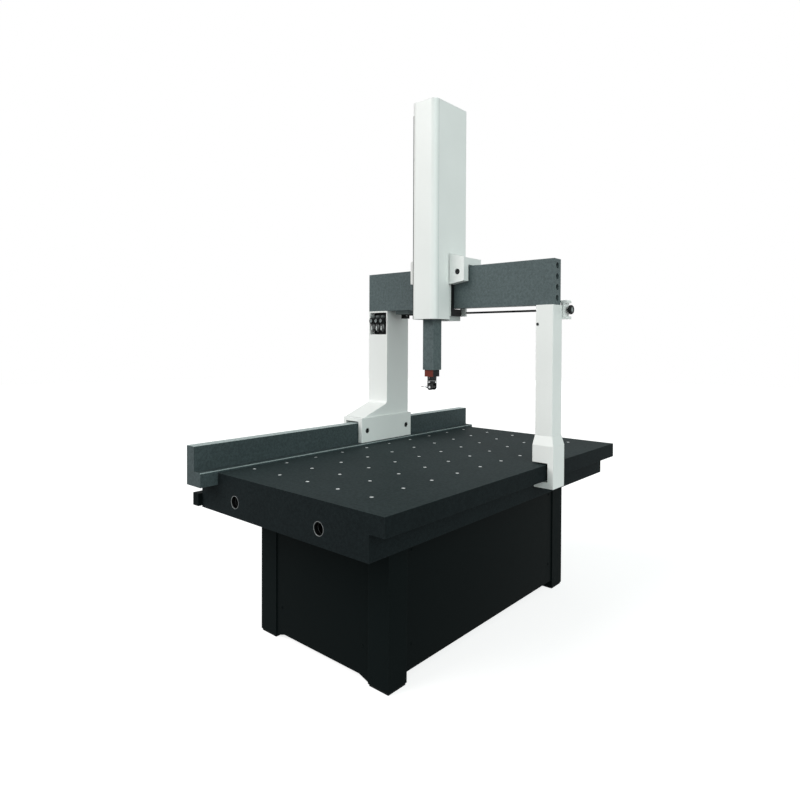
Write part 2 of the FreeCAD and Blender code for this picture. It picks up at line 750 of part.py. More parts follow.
def make_guide_rail():
    body = new_body("y_guide_rail")
    pad(body, "XZ", d.rail_front, d.rail_back, polygon, [
        (d.rail_left, -d.rabbet_depth), (foot_right, -d.rabbet_depth),
        (foot_right, d.rail_ledge), (web_right, d.rail_ledge),
        (web_right, d.rail_top), (d.rail_left, d.rail_top)])
    row = ("V_Axis", d.rail_bolt_pitch * (d.rail_bolt_count - 1), d.rail_bolt_count)
    sink = d.rail_ledge - d.head_length - d.panel
    well = pocket(body, "XY", sink, d.rail_ledge, circle, bolt_x, bolt_first,
                  d.rail_bolt_head + d.panel / 2)
    pattern(body, well, row)
    shank = pocket(body, "XY", -d.rabbet_depth, sink, circle, bolt_x, bolt_first, d.rail_bolt)
    pattern(body, shank, row)
    keep(body, "y_guide_rail")


def rail_bolts():
    sink = d.rail_ledge - d.head_length - d.panel
    bolts = []
    for step in range(int(number(d.rail_bolt_count))):
        centre = (bolt_x, bolt_first + d.rail_bolt_pitch * step)
        head = rod("z", centre, d.rail_bolt_head, sink, sink + d.head_length)
        shank = rod("z", centre, d.rail_bolt, -d.rabbet_depth - d.bolt_grip, sink)
        bolts.append(fuse(head, shank))
    return bolts


def make_base_screws():
    keep(group(*panel_screws(), *rail_bolts()), "base_screws")


def make_y_scale():
    keep(box((d.rail_left - d.tape, d.rail_left), (d.rail_front + d.pad_inset, d.rail_back - d.pad_inset),
             (d.y_scale_z, d.y_scale_z + d.tape_width)), "y_scale_tape")


# Drive along the table

def stadium(axis, run, ends, level, radius, low, high):
    """Solid outline of a belt: shafts lie along one axis, the belt runs along another."""
    across = next(a for a in "xyz" if a not in (axis, run))
    spans = {axis: (low, high), run: ends, across: (level - radius, level + radius)}
    pieces = [box(spans["x"], spans["y"], spans["z"])]
    for end in ends:
        centre = {run: end, across: level}
        pieces.append(rod(axis, [centre[a] for a in "xyz" if a != axis], radius, low, high))
    return fuse(*pieces)


def belt_loop(axis, run, ends, level, pulley, middle):
    half = d.belt_width / 2
    inner = pulley + d.belt_gap
    outside = stadium(axis, run, ends, level, inner + d.belt, middle - half, middle + half)
    inside = stadium(axis, run, ends, level, inner, middle - half, middle + half)
    return cut(outside, inside)


def pulley_with_shaft(axis, centre, radius, middle, low, high):
    """Toothed belt pulley turned from one piece with its shaft."""
    half = d.pulley_width / 2
    return fuse(rod(axis, centre, radius, middle - half, middle + half),
                rod(axis, centre, d.axle, low, high))


def motor(axis, centre, radius, low, high, shaft_end):
    """Motor body round the end of a shaft; the bore leaves a running fit."""
    can = rod(axis, centre, radius, low, high)
    ends = (low, shaft_end) if number(shaft_end) > number(low) else (shaft_end, high)
    return cut(can, rod(axis, centre, d.axle + d.running, *ends))


def make_y_drive():
    ends = (d.drive_front, d.drive_rear)
    keep(belt_loop("x", "y", ends, drive_z, d.pulley, d.drive_x), "y_drive_belt")
    front = (d.drive_front, drive_z)
    rear = (d.drive_rear, drive_z)
    shaft_end = d.table_left + d.shaft_grip
    keep(pulley_with_shaft("x", front, d.pulley, d.drive_x, d.bracket_left, d.table_left),
         "y_idler_pulley")
    keep(pulley_with_shaft("x", rear, d.pulley, d.drive_x, d.bracket_left, shaft_end), "y_drive_pulley")
    keep(motor("x", rear, d.motor_radius, d.table_left, d.table_left + d.motor_length,
               shaft_end + d.running), "y_drive_motor")
    wall = d.bracket_wall
    reach = d.pulley + d.belt + wall
    near = (d.drive_front - reach - wall, d.drive_rear - reach * 2)
    far = (d.drive_front + reach * 2, d.rail_back)
    inside = ((near[0] + wall, far[0]), (near[1], far[1] - wall))
    brackets = []
    for start, end, room_y, centre in zip(near, far, inside, (front, rear)):
        block = box((d.bracket_left, d.table_left), (start, end), (bracket_bottom, bracket_top))
        room = box((d.bracket_left + wall, d.table_left - wall), room_y,
                   (bracket_bottom + wall, bracket_top - wall))
        hole = rod("x", centre, d.axle + d.running, d.bracket_left, d.table_left)
        brackets.append(cut(block, room, hole))
    keep(group(*brackets), "y_drive_brackets")


# Bridge

def make_left_saddle():
    body = new_body("left_saddle")
    inner_left = d.saddle_left + d.saddle_wall
    inner_right = web_right + d.face_gap
    roof = d.saddle_top - d.saddle_roof
    pad(body, "XZ", d.saddle_front, d.saddle_back, polygon, [
        (d.saddle_left, d.saddle_bottom), (inner_left, d.saddle_bottom),
        (inner_left, roof), (inner_right, roof),
        (inner_right, d.saddle_bottom), (d.saddle_right, d.saddle_bottom),
        (d.saddle_right, d.saddle_top), (d.saddle_left, d.saddle_top)])
    outer_x = (number(d.saddle_left), number(d.saddle_right))
    fillet(body, d.corner, lambda edge: upright(edge) and min(
        abs(edge.CenterOfMass.x - x) for x in outer_x) < 0.5)
    seat_radius = d.pad_radius + d.running
    for y in saddle_pads_y:
        pocket(body, "YZ", inner_right, inner_right + d.pad_seat, circle, y, saddle_pad_z, seat_radius)
        pocket(body, "YZ", d.saddle_right - d.well_depth, d.saddle_right,
               circle, y, saddle_pad_z, d.screw_well)
        pocket(body, "YZ", inner_right + d.pad_seat, d.saddle_right - d.well_depth,
               circle, y, saddle_pad_z, d.screw)
        pocket(body, "YZ", d.saddle_left, inner_left, circle, y, saddle_pad_z, d.screw)
        pocket(body, "XY", roof, roof + d.pad_seat, circle, rail_mid, y, seat_radius)
    keep(body, "left_saddle")


def make_left_column():
    body = new_body("left_column")
    pad(body, "YZ", d.column_left, d.column_right, polygon, [
        (d.flare_toe, d.saddle_top), (d.column_back, d.saddle_top),
        (d.column_back, d.beam_bottom), (d.column_front, d.beam_bottom),
        (d.column_front, d.flare_top)])
    fillet(body, d.flare_round, lambda edge: corner_at(edge, y=d.column_front, z=d.flare_top))
    wall = d.column_wall
    pocket(body, "XY", d.saddle_top, d.recess_bottom - wall, rectangle,
           (d.column_left + wall, d.column_right - wall),
           (d.column_front + wall, d.column_back - wall))
    pocket(body, "XZ", d.column_front, d.column_front + d.recess_depth, rectangle,
           (d.recess_left, d.recess_right), (d.recess_bottom, d.recess_top))
    for x, y in beam_bolts[:2]:
        pocket(body, "XY", d.beam_bottom - d.bolt_grip, d.beam_bottom, circle, x, y, d.rail_bolt)
    keep(body, "left_column")


def disc(axis, centre, face, direction, thickness, radius):
    """Bearing pad that starts one air gap from a granite face."""
    if direction > 0:
        return rod(axis, centre, radius, face + d.air_gap, face + d.air_gap + thickness)
    return rod(axis, centre, radius, face - d.air_gap - thickness, face - d.air_gap)


def adjusting_screw(axis, centre, tail, seat, head_out):
    """Screw from a pad's back to a head outside its casting."""
    low, high = (tail, head_out) if number(tail) < number(head_out) else (head_out, tail)
    head_low, head_high = (seat, head_out) if number(seat) < number(head_out) else (head_out, seat)
    return fuse(rod(axis, centre, d.screw, low, high),
                rod(axis, centre, d.screw_head, head_low, head_high))


def saddle_pads():
    side_thickness = d.face_gap + d.pad_seat - d.air_gap
    top_thickness = d.saddle_top - d.saddle_roof - d.rail_top + d.pad_seat - d.air_gap
    pads = []
    for y in saddle_pads_y:
        centre = (y, saddle_pad_z)
        pads.append(disc("z", (rail_mid, y), d.rail_top, 1, top_thickness, d.pad_radius))
        pads.append(disc("x", centre, web_right, 1, side_thickness, d.pad_radius))
        pads.append(disc("x", centre, d.rail_left, -1, side_thickness, d.pad_radius))
    return pads


def saddle_screws():
    """Screws that set the side pads: sunk on the inner side, standing proud outside."""
    pad_back = d.rail_left - d.face_gap - d.pad_seat
    inner_back = web_right + d.face_gap + d.pad_seat
    well = d.saddle_right - d.well_depth
    head = d.well_depth * 0.75
    screws = []
    for y in saddle_pads_y:
        centre = (y, saddle_pad_z)
        screws.append(adjusting_screw("x", centre, inner_back, well, well + head))
        screws.append(adjusting_screw("x", centre, pad_back, d.saddle_left, d.saddle_left - head))
    return screws


def make_beam():
    body = new_body("granite_beam")
    pad(body, "XZ", d.beam_front, d.beam_back, rectangle,
        (d.beam_left, beam_right), (d.beam_bottom, d.beam_top))
    middle = (d.beam_bottom + d.beam_top) / 2
    for step in (-1.5, -0.5, 0.5, 1.5):
        z = middle + d.core_pitch * step
        pocket(body, "YZ", beam_right - d.core_depth, beam_right, circle,
               beam_mid_y, z, d.core_radius)
        pocket(body, "YZ", d.beam_left, d.beam_left + d.core_depth, circle,
               beam_mid_y, z, d.core_radius)
    sink = d.beam_top - d.head_length - d.panel
    for x, y in beam_bolts:
        pocket(body, "XY", sink, d.beam_top, circle, x, y, d.rail_bolt_head + d.panel / 2)
        pocket(body, "XY", d.beam_bottom, sink, circle, x, y, d.rail_bolt)
    keep(body, "granite_beam")


def make_beam_bolts():
    sink = d.beam_top - d.head_length - d.panel
    bolts = []
    for centre in beam_bolts:
        head = rod("z", centre, d.rail_bolt_head, sink, sink + d.head_length)
        shank = rod("z", centre, d.rail_bolt, d.beam_bottom - d.bolt_grip, sink)
        bolts.append(fuse(head, shank))
    return bolts


def make_x_scale():
    z = x_scale_z
    keep(box((d.beam_left + d.pad_inset, beam_right - d.pad_inset),
             (d.beam_back, d.beam_back + d.tape), (z, z + d.tape_width)), "x_scale_tape")


def make_right_column():
    body = new_body("right_column")
    pad(body, "XY", d.collar_top, d.beam_bottom, rectangle,
        (post_left, post_right), (post_front, post_back))
    fillet(body, d.corner / 2, upright)
    wall = d.column_wall
    pocket(body, "XY", d.collar_top, d.beam_bottom - d.bolt_grip - wall, rectangle,
           (post_left + wall, post_right - wall), (post_front + wall, post_back - wall))
    for x, y in beam_bolts[2:]:
        pocket(body, "XY", d.beam_bottom - d.bolt_grip, d.beam_bottom, circle, x, y, d.rail_bolt)
    keep(body, "right_column")


leg_pad_x = (leg_left + d.table_right) / 2
jaw_pad_x = (jaw_left + d.table_right) / 2
leg_mid_y = (d.leg_front + leg_back) / 2
leg_pad_radius = d.pad_radius + d.corner


def make_right_leg():
    body = new_body("right_leg")
    sections = []
    for z, x, y in (
            (d.collar, (leg_left, leg_right), (d.leg_front, leg_back)),
            (d.collar_top, (post_left, post_right), (post_front, post_back))):
        sketch = sketch_on(body, "XY", z)
        rectangle(sketch, x, y)
        sections.append(sketch)
    chamfer = body.newObject("PartDesign::AdditiveLoft", "chamfer")
    chamfer.Profile = sections[0]
    chamfer.Sections = [sections[1]]
    doc.recompute()
    pad(body, "XZ", d.leg_front, leg_back, polygon, [
        (leg_left, d.leg_bottom), (leg_right - d.leg_wall, d.leg_bottom),
        (leg_right - d.leg_wall, d.jaw_top), (jaw_left, d.jaw_top),
        (jaw_left, d.jaw_bottom), (leg_right, d.jaw_bottom),
        (leg_right, d.collar), (leg_left, d.collar)])
    pocket(body, "XY", d.leg_bottom, d.leg_bottom + d.pad_seat, circle,
           leg_pad_x, leg_mid_y, leg_pad_radius + d.running)
    pocket(body, "XY", d.jaw_top - d.pad_seat, d.jaw_top, circle,
           jaw_pad_x, leg_mid_y, d.pad_radius + d.running)
    pocket(body, "XY", d.jaw_bottom, d.jaw_top - d.pad_seat, circle, jaw_pad_x, leg_mid_y, d.screw)
    keep(body, "right_leg")


def make_bridge_air_pads():
    """Pads on the guide rail's three faces and over and under the table's right edge."""
    upper = disc("z", (leg_pad_x, leg_mid_y), Size(0.0, "0"), 1,
                 d.leg_bottom + d.pad_seat - d.air_gap, leg_pad_radius)
    slab = -d.slab_depth
    lower = disc("z", (jaw_pad_x, leg_mid_y), slab, -1, slab - d.jaw_top + d.pad_seat - d.air_gap,
                 d.pad_radius)
    keep(group(*saddle_pads(), upper, lower), "bridge_air_pads")


def make_bridge_screws():
    jaw = adjusting_screw("z", (jaw_pad_x, leg_mid_y), d.jaw_top - d.pad_seat, d.jaw_bottom,
                          d.jaw_bottom - d.well_depth)
    z = d.saddle_bottom + d.pad_seat * 2
    arm = [rod("x", (y, z), d.screw, d.beam_left, d.beam_left + d.panel)
           for y in (d.arm_front + d.pad_seat * 2, d.arm_back - d.pad_seat * 2)]
    face = rod("y", (post_left + d.corner * 2, d.beam_bottom - d.wall_screw_drop), d.wall_screw,
               post_front - d.panel, post_front)
    keep(group(*saddle_screws(), *make_beam_bolts(), jaw, *arm, face), "bridge_screws")


def make_drive_arm():
    """Arm from the saddle down to the belt, with a fork round its upper run."""
    middle = (d.arm_front + d.arm_back) / 2
    upper_run = drive_z + d.pulley + d.belt_gap + d.belt / 2
    slot = d.belt / 2 + d.belt_gap
    finger = d.bracket_wall
    plate = box((d.beam_left + d.panel, d.saddle_left), (d.arm_front, d.arm_back),
                (upper_run - slot - finger, saddle_pad_z - d.pad_radius))
    reach = (d.saddle_left, d.drive_x + d.belt_width / 2 + d.panel)
    length = (middle - d.pad_radius, middle + d.pad_radius)
    above = box(reach, length, (upper_run + slot, upper_run + slot + finger))
    below = box(reach, length, (upper_run - slot - finger, upper_run - slot))
    keep(fuse(plate, above, below), "y_drive_arm")


def make_read_heads():
    gap = d.tape + 1.0
    width = d.tape_width * 2
    low = d.y_scale_z - d.tape_width / 2
    keep(box((d.saddle_left + d.saddle_wall, d.rail_left - gap),
             (d.arm_front, d.arm_back), (low, low + width)), "y_read_head")
    low = x_scale_z - d.tape_width / 2
    side = d.axis_x + d.back_plate_half
    beam_head = box((side, side + d.pad_radius), (d.beam_back + gap, d.arm_right - d.corner),
                    (low, low + width))
    left = d.axis_x - ram_half - gap
    ram_head = box((d.axis_x - d.guide_half, left),
                   (d.axis_y - ram_half, d.axis_y - ram_half + width * 0.7),
                   (d.low_guide_top, d.low_guide_top + width))
    keep(group(beam_head, ram_head), "carriage_read_heads")


# Drive along the beam

def make_x_drive():
    z_mid = d.beam_drive_z
    y_mid = d.beam_drive_y
    ends = (d.beam_drive_left, beam_drive_right)
    keep(belt_loop("z", "x", ends, y_mid, d.small_pulley, z_mid), "x_drive_belt")

    half = d.housing_half
    wall = d.housing_wall
    inner = half - wall
    low = d.beam_bottom - d.housing_drop
    high = d.beam_bottom
    right = ends[0] + half
    shell = box((ends[0] - half, right), (y_mid - half, y_mid + half), (low, high))
    flange = box((ends[0] - half, d.flange_right), (d.flange_front, y_mid - half),
                 (high - d.flange_drop, high))
    room = box((ends[0] - inner, ends[0] + inner), (y_mid - inner, y_mid + inner),
               (low + wall, high - wall))
    window = box((right - wall, right), (y_mid - inner, y_mid + inner),
                 (z_mid - d.pulley_width / 2, z_mid + d.pulley_width / 2))
    hole = rod("z", (ends[0], y_mid), d.axle + d.running, low, high)
    keep(cut(fuse(shell, flange), room, window, hole), "x_drive_housing")
    shaft_end = high + d.shaft_grip
    keep(pulley_with_shaft("z", (ends[0], y_mid), d.small_pulley, z_mid, low, shaft_end),
         "x_drive_pulley")
    keep(motor("z", (ends[0], y_mid), inner, high, high + d.motor_length * 0.6,
               shaft_end + d.running), "x_drive_motor")


def make_x_tensioner():
    z_mid = d.beam_drive_z
    y_mid = d.beam_drive_y
    pulley_x = beam_drive_right
    plate = d.tension_plate
    low = z_mid - d.tension_half
    high = z_mid + d.tension_half
    near = post_back
    far = y_mid + d.tension_depth
    web = pulley_x + d.small_pulley + d.belt + d.panel
    start = tension_right - d.knob_length
    outer = box((pulley_x - d.small_pulley + d.corner, start), (near, far), (low, high))
    pulley_room = box((pulley_x - d.small_pulley, web), (near, far), (low + plate, high - plate))
    knob_room = box((web + d.tension_web, start), (near, far), (low + plate, high - plate))
    screw_hole = rod("x", (y_mid, z_mid), d.screw, web, web + d.tension_web)
    axle_hole = rod("z", (pulley_x, y_mid), d.axle + d.running, low, high)
    keep(cut(outer, pulley_room, knob_room, screw_hole, axle_hole), "x_tension_bracket")
    keep(pulley_with_shaft("z", (pulley_x, y_mid), d.small_pulley, z_mid, low, high), "x_idler_pulley")
    knob = make_knob("tension_knob", "YZ", (y_mid, z_mid), start, d.knob_length, d.knob_radius, 8)
    pad(knob, "YZ", web - d.panel / 2, start, circle, y_mid, z_mid, d.screw - d.running)
    keep(knob, "tension_knob")


def make_knob(label, plane, centre, at, length, radius, notches):
    """Turned knob with finger notches round its rim and a chamfered face."""
    body = new_body(label)
    pad(body, plane, at, at + length, circle, *centre, radius)
    far = number(at + length)
    axis = {"YZ": "x", "XY": "z"}[plane]
    dress(body, "PartDesign::Chamfer", "Size", radius / 8,
          lambda edge: abs(getattr(edge.CenterOfMass, axis) - far) < 0.1)
    notch = radius / 6
    for step in range(notches):
        turn = 2 * math.pi * step / notches
        pocket(body, plane, at, at + length, circle,
               centre[0] + radius * math.cos(turn), centre[1] + radius * math.sin(turn), notch)
    return body


# Air regulators

def make_regulators():
    back = d.column_front + d.recess_depth
    body_front = d.column_front - d.regulator_lead
    plate_front = back - d.panel
    half = d.regulator_width / 2
    plate = box((d.recess_left, d.recess_right), (plate_front, back), (d.recess_bottom, d.recess_top))
    bodies, dials, bowls = [plate], [], []
    for index, x in enumerate(regulators_x, start=1):
        bodies.append(box((x - half, x + half), (body_front, plate_front),
                          (d.regulator_bottom, d.regulator_top)))
        middle = (d.regulator_bottom + d.regulator_top) / 2
        dials.append(rod("y", (x, middle), d.dial_radius, body_front - d.bowl_radius / 2, body_front))
        low = d.regulator_bottom - d.bowl_length
        cup = rod("z", (x, regulator_y), d.bowl_radius, low, d.regulator_bottom)
        drain = rod("z", (x, regulator_y), d.bowl_radius / 3, low - d.bowl_radius / 2, low)
        bowls.append(fuse(cup, drain))
        label = f"regulator_knob_{index}"
        start = d.regulator_top + d.air_gap
        keep(make_knob(label, "XY", (x, regulator_y), start, d.regulator_knob, d.regulator_knob, 6),
             label)
    keep(group(*bodies, *dials, *bowls), "air_regulators")


# Carriage

def make_carriage_frame():
    body = new_body("carriage_frame")
    inner = d.beam_front - d.face_gap
    top = d.beam_top + d.face_gap
    back = d.beam_back + d.face_gap
    clear_left = cover_left - d.air_gap
    clear_right = cover_right + d.air_gap
    pad(body, "XZ", d.plate_front, inner, polygon, [
        (cover_left, d.plate_bottom), (cover_right, d.plate_bottom),
        (cover_right, root_bottom), (d.wing_right, tip_bottom),
        (d.wing_right, tip_top), (clear_right, root_top),
        (clear_right, tip_top), (clear_left, tip_top),
        (clear_left, root_top), (d.wing_left, tip_top),
        (d.wing_left, tip_bottom), (cover_left, root_bottom)])
    for root, tip in ((cover_left - d.face_gap, d.wing_left), (cover_right + d.face_gap, d.wing_right)):
        pad(body, "XZ", d.wing_front, inner, polygon, [
            (root, root_bottom), (tip, tip_bottom), (tip, tip_top), (root, root_top)])
    pad(body, "XY", top, tip_top, rectangle, (d.wing_left, d.wing_right), (inner, d.arm_right))
    half = d.back_plate_half
    pad(body, "XZ", back, d.arm_right, rectangle,
        (d.axis_x - half, d.axis_x + half), (d.back_plate_bottom, top))
    seat = d.pad_radius + d.running
    for x in wing_pads_x:
        pocket(body, "XZ", inner - d.pad_seat, inner, circle, x, wing_pad_z, seat)
        pocket(body, "XZ", d.wing_front, inner - d.pad_seat, circle, x, wing_pad_z, d.screw)
        pocket(body, "XZ", d.wing_front, d.wing_front + d.well_depth, circle,
               x, wing_pad_z, d.screw_head + d.head_room)
        pocket(body, "XY", top, top + d.pad_seat, circle, x, beam_mid_y, seat)
    for z in back_pads_z:
        pocket(body, "XZ", back, back + d.pad_seat, circle, d.axis_x, z, seat)
    keep(body, "carriage_frame")


def make_carriage_air_pads():
    thickness = d.face_gap + d.pad_seat - d.air_gap
    front = [disc("y", (x, wing_pad_z), d.beam_front, -1, thickness, d.pad_radius)
             for x in wing_pads_x]
    top = [disc("z", (x, beam_mid_y), d.beam_top, 1, thickness, d.pad_radius) for x in wing_pads_x]
    back = [disc("y", (d.axis_x, z), d.beam_back, 1, thickness, d.pad_radius) for z in back_pads_z]
    keep(group(*front, *top, *back, *ram_pads()), "carriage_air_pads")
    seat = d.beam_front - d.face_gap - d.pad_seat
    well = d.wing_front + d.well_depth
    keep(group(*[adjusting_screw("y", (x, wing_pad_z), seat, well, d.wing_front + d.head_room)
                 for x in wing_pads_x]), "wing_pad_screws")


def make_carriage_underside():
    top = d.plate_bottom
    low = top - d.bottom_plate
    keep(box((cover_left + d.corner, cover_right - d.corner), (d.plate_front, d.beam_back),
             (low, top)), "carriage_bottom_plate")
    lid = d.beam_bottom - d.corner
    front = d.beam_front - d.face_gap
    duct_right = cover_right + d.duct
    case = box((d.axis_x - d.corner, duct_right), (d.beam_front + d.corner, d.beam_back - d.corner),
               (top, lid))
    elbow = box((cover_right, duct_right), (front - d.duct_depth, d.beam_front + d.corner), (top, lid))
    duct = box((cover_right, duct_right), (front - d.duct_depth, front), (lid, root_bottom))
    keep(fuse(case, elbow, duct), "junction_box")
    run = d.beam_drive_y - d.small_pulley - d.belt_gap - d.belt / 2
    slot = d.belt / 2 + d.belt_gap
    right = d.axis_x + d.back_plate_half
    x = (right - d.clamp_width, right)
    thick = (run - slot - d.bracket_wall, run + slot + d.bracket_wall)
    block = box(x, thick, (top, d.back_plate_bottom))
    half = d.belt_width / 2 + d.belt_gap
    channel = box(x, (run - slot, run + slot), (d.beam_drive_z - half, d.beam_drive_z + half))
    keep(cut(block, channel), "x_belt_clamp")


def cover_plan(sketch, inset):
    rectangle(sketch, (cover_left + inset, cover_right - inset),
              (d.cover_front + inset, d.cover_back - inset))


def make_z_cover():
    """Sheet cover, closed on top, open below and at the back beside the beam."""
    body = new_body("z_cover")
    skin = d.cover_skin
    pad(body, "XY", d.cover_bottom, d.cover_top, cover_plan, 0.0)
    pocket(body, "XY", d.cover_bottom, d.cover_top - skin, cover_plan, skin)
    fillet(body, d.cover_round - skin,
           lambda edge: upright(edge) and corner_at(edge, y=d.cover_front + skin))
    fillet(body, d.cover_round, lambda edge: upright(edge) and corner_at(edge, y=d.cover_front))
    pocket(body, "YZ", cover_left, cover_right, rectangle,
           (d.cover_low_back, d.cover_back), (d.cover_bottom, cover_step))
    keep(body, "z_cover")


def make_ram_guides():
    half = d.guide_half
    blocks = []
    for low, high in ((d.low_guide_bottom, d.low_guide_top), (high_guide_bottom, high_guide_top)):
        outer = box((d.axis_x - half, d.axis_x + half), (d.axis_y - half, d.plate_front), (low, high))
        inner = box((d.axis_x - guide_inner, d.axis_x + guide_inner),
                    (d.axis_y - guide_inner, d.axis_y + guide_inner), (low, high))
        blocks.append(cut(outer, inner))
    keep(group(*blocks), "ram_guide_blocks")


def ram_pads():
    pads = []
    thickness = d.guide_gap - d.air_gap
    for z in ((d.low_guide_bottom + d.low_guide_top) / 2, (high_guide_bottom + high_guide_top) / 2):
        for side in (-1, 1):
            pads.append(disc("x", (d.axis_y, z), d.axis_x + ram_half * side, side, thickness, d.guide_pad))
            pads.append(disc("y", (d.axis_x, z), d.axis_y + ram_half * side, side, thickness, d.guide_pad))
    return pads


def make_z_drive():
    ends = (lift_low, d.lift_high)
    outer = d.upright_offset + d.upright
    keep(belt_loop("x", "z", ends, d.lift_y, d.lift_pulley, d.axis_x), "z_drive_belt")
    for z, label in zip(ends, ("z_lower_pulley", "z_upper_pulley")):
        keep(pulley_with_shaft("x", (d.lift_y, z), d.lift_pulley, d.axis_x, d.axis_x - outer,
                               d.axis_x + outer), label)
    frame = []
    depth = (d.lift_y - d.upright_depth / 2, d.lift_y + d.upright_depth / 2)
    for side in (-1, 1):
        near = d.axis_x + d.upright_offset * side
        far = near + d.upright * side
        x = (near, far) if side > 0 else (far, near)
        plate = box(x, depth, (root_top, tower_top))
        holes = [rod("x", (d.lift_y, z), d.axle + d.running, *x) for z in ends]
        frame.append(cut(plate, *holes))
        frame.append(rod("z", (d.axis_x + d.guide_rod_x * side, weight_mid_y), d.guide_rod,
                         tip_top, tower_top))
    keep(group(*frame), "z_tower_frame")
    keep(motor("x", (d.lift_y, ends[1]), d.motor_radius * 0.8, d.axis_x + d.pulley_width,
               d.axis_x + d.upright_offset, d.axis_x + outer), "z_drive_motor")


def make_counterweight():
    """Steel block on two guide rods, with a lug that clamps the belt's rear run."""
    high = weight_bottom + d.weight_height
    weight = box((d.axis_x - d.weight_half, d.axis_x + d.weight_half), (d.weight_front, d.weight_back),
                 (weight_bottom, high))
    run = d.lift_y + d.lift_pulley + d.belt_gap + d.belt / 2
    slot = d.belt / 2 + d.belt_gap
    half = d.belt_width / 2 + d.belt_gap
    middle = weight_bottom + d.weight_height / 2
    z = (middle - d.pad_radius, middle + d.pad_radius)
    lug = box((d.axis_x - half - d.corner, d.axis_x + half + d.corner),
              (run - slot - d.panel, d.weight_front), z)
    channel = box((d.axis_x - half, d.axis_x + half), (run - slot, run + slot), z)
    holes = [rod("z", (d.axis_x + d.guide_rod_x * side, weight_mid_y), d.guide_rod + d.air_gap,
                 weight_bottom, high) for side in (-1, 1)]
    keep(cut(fuse(weight, lug), channel, *holes), "counterweight")


# Ram and probe

def make_ram():
    body = new_body("granite_ram")
    pad(body, "XY", d.ram_bottom, ram_top, rectangle,
        (d.axis_x - ram_half, d.axis_x + ram_half), (d.axis_y - ram_half, d.axis_y + ram_half))
    dress(body, "PartDesign::Chamfer", "Size", d.corner / 4, upright)
    face = d.axis_y - ram_half
    pocket(body, "XZ", face, face + d.well_depth, circle, d.axis_x + d.ram_hole_x, d.ram_hole_z, d.ram_hole)
    keep(body, "granite_ram")
    left = d.axis_x - ram_half
    front = face + d.corner / 2
    keep(box((left - d.tape, left), (front, front + d.tape_width),
             (d.ram_bottom + d.pad_inset, ram_top - d.pad_inset)), "z_scale_tape")


def make_ram_clamp():
    back = d.axis_y + ram_half
    run = d.lift_y - d.lift_pulley - d.belt_gap - d.belt / 2
    slot = d.belt / 2 + d.belt_gap
    half = d.belt_width / 2 + d.belt_gap
    z = (ram_top - d.clamp_drop, ram_top - d.clamp_drop + d.pad_radius)
    block = box((d.axis_x - half - d.corner, d.axis_x + half + d.corner), (back, run + slot + d.panel), z)
    channel = box((d.axis_x - half, d.axis_x + half), (run - slot, run + slot), z)
    keep(cut(block, channel), "ram_belt_clamp")


def make_probe():
    half = d.adapter / 2
    x = (d.axis_x - d.adapter_width / 2, d.axis_x + d.adapter_width / 2)
    seam = d.axis_y - half + d.adapter_front
    keep(box(x, (seam, d.axis_y + half), (head_z, d.ram_bottom)), "probe_adapter")
    keep(box(x, (d.axis_y - half, seam), (head_z, d.ram_bottom)), "adapter_front_plate")
    centre = (d.axis_x, d.axis_y)
    base = new_body("probe_head_base")
    pad(base, "XY", head_z - d.head_base, head_z, circle, *centre, d.head_radius)
    dress(base, "PartDesign::Chamfer", "Size", d.corner / 3,
          lambda edge: corner_at(edge, z=head_z - d.head_base))
    keep(base, "probe_head_base")
    make_head_swivel(centre)
    make_knuckle()
    make_stylus()


def make_head_swivel(centre):
    swivel = new_body("probe_head_swivel")
    pad(swivel, "XY", d.swivel_bottom, d.swivel_top, circle, *centre, d.head_radius)
    dress(swivel, "PartDesign::Chamfer", "Size", d.corner / 3,
          lambda edge: corner_at(edge, z=d.swivel_bottom))
    x = (d.axis_x - d.cheek_half, d.axis_x + d.cheek_half)
    for near, far in ((d.axis_y - d.cheek_outer, d.axis_y - d.cheek_inner),
                      (d.axis_y + d.cheek_inner, d.axis_y + d.cheek_outer)):
        pad(swivel, "XZ", near, far, rectangle, x, (d.tilt_z, d.swivel_bottom))
        pad(swivel, "XZ", near, far, circle, d.axis_x, d.tilt_z, d.cheek_half)
    pocket(swivel, "XZ", d.axis_y - d.cheek_outer, d.axis_y + d.cheek_outer, circle,
           d.axis_x, d.tilt_z, d.screw + d.running)
    keep(swivel, "probe_head_swivel")


def make_knuckle():
    """Knuckle between the cheeks, with its pin and the socket of the touch probe."""
    inner = d.cheek_inner - d.air_gap
    hub = rod("y", (d.axis_x, d.tilt_z), d.knuckle, d.axis_y - inner, d.axis_y + inner)
    pin = rod("y", (d.axis_x, d.tilt_z), d.screw, d.axis_y - d.cheek_outer, d.axis_y + d.cheek_outer)
    keep(fuse(hub, pin), "probe_knuckle")
    start = d.axis_x - d.knuckle * 0.8
    probe = rod("x", (d.axis_y, d.tilt_z), d.probe_radius, probe_front, start)
    collar = rod("x", (d.axis_y, d.tilt_z), d.probe_radius + d.probe_lip, d.axis_x - d.knuckle - d.corner, start)
    keep(cut(fuse(probe, collar), rod("y", (d.axis_x, d.tilt_z), d.knuckle,
                                      d.axis_y - inner, d.axis_y + inner)), "touch_probe")


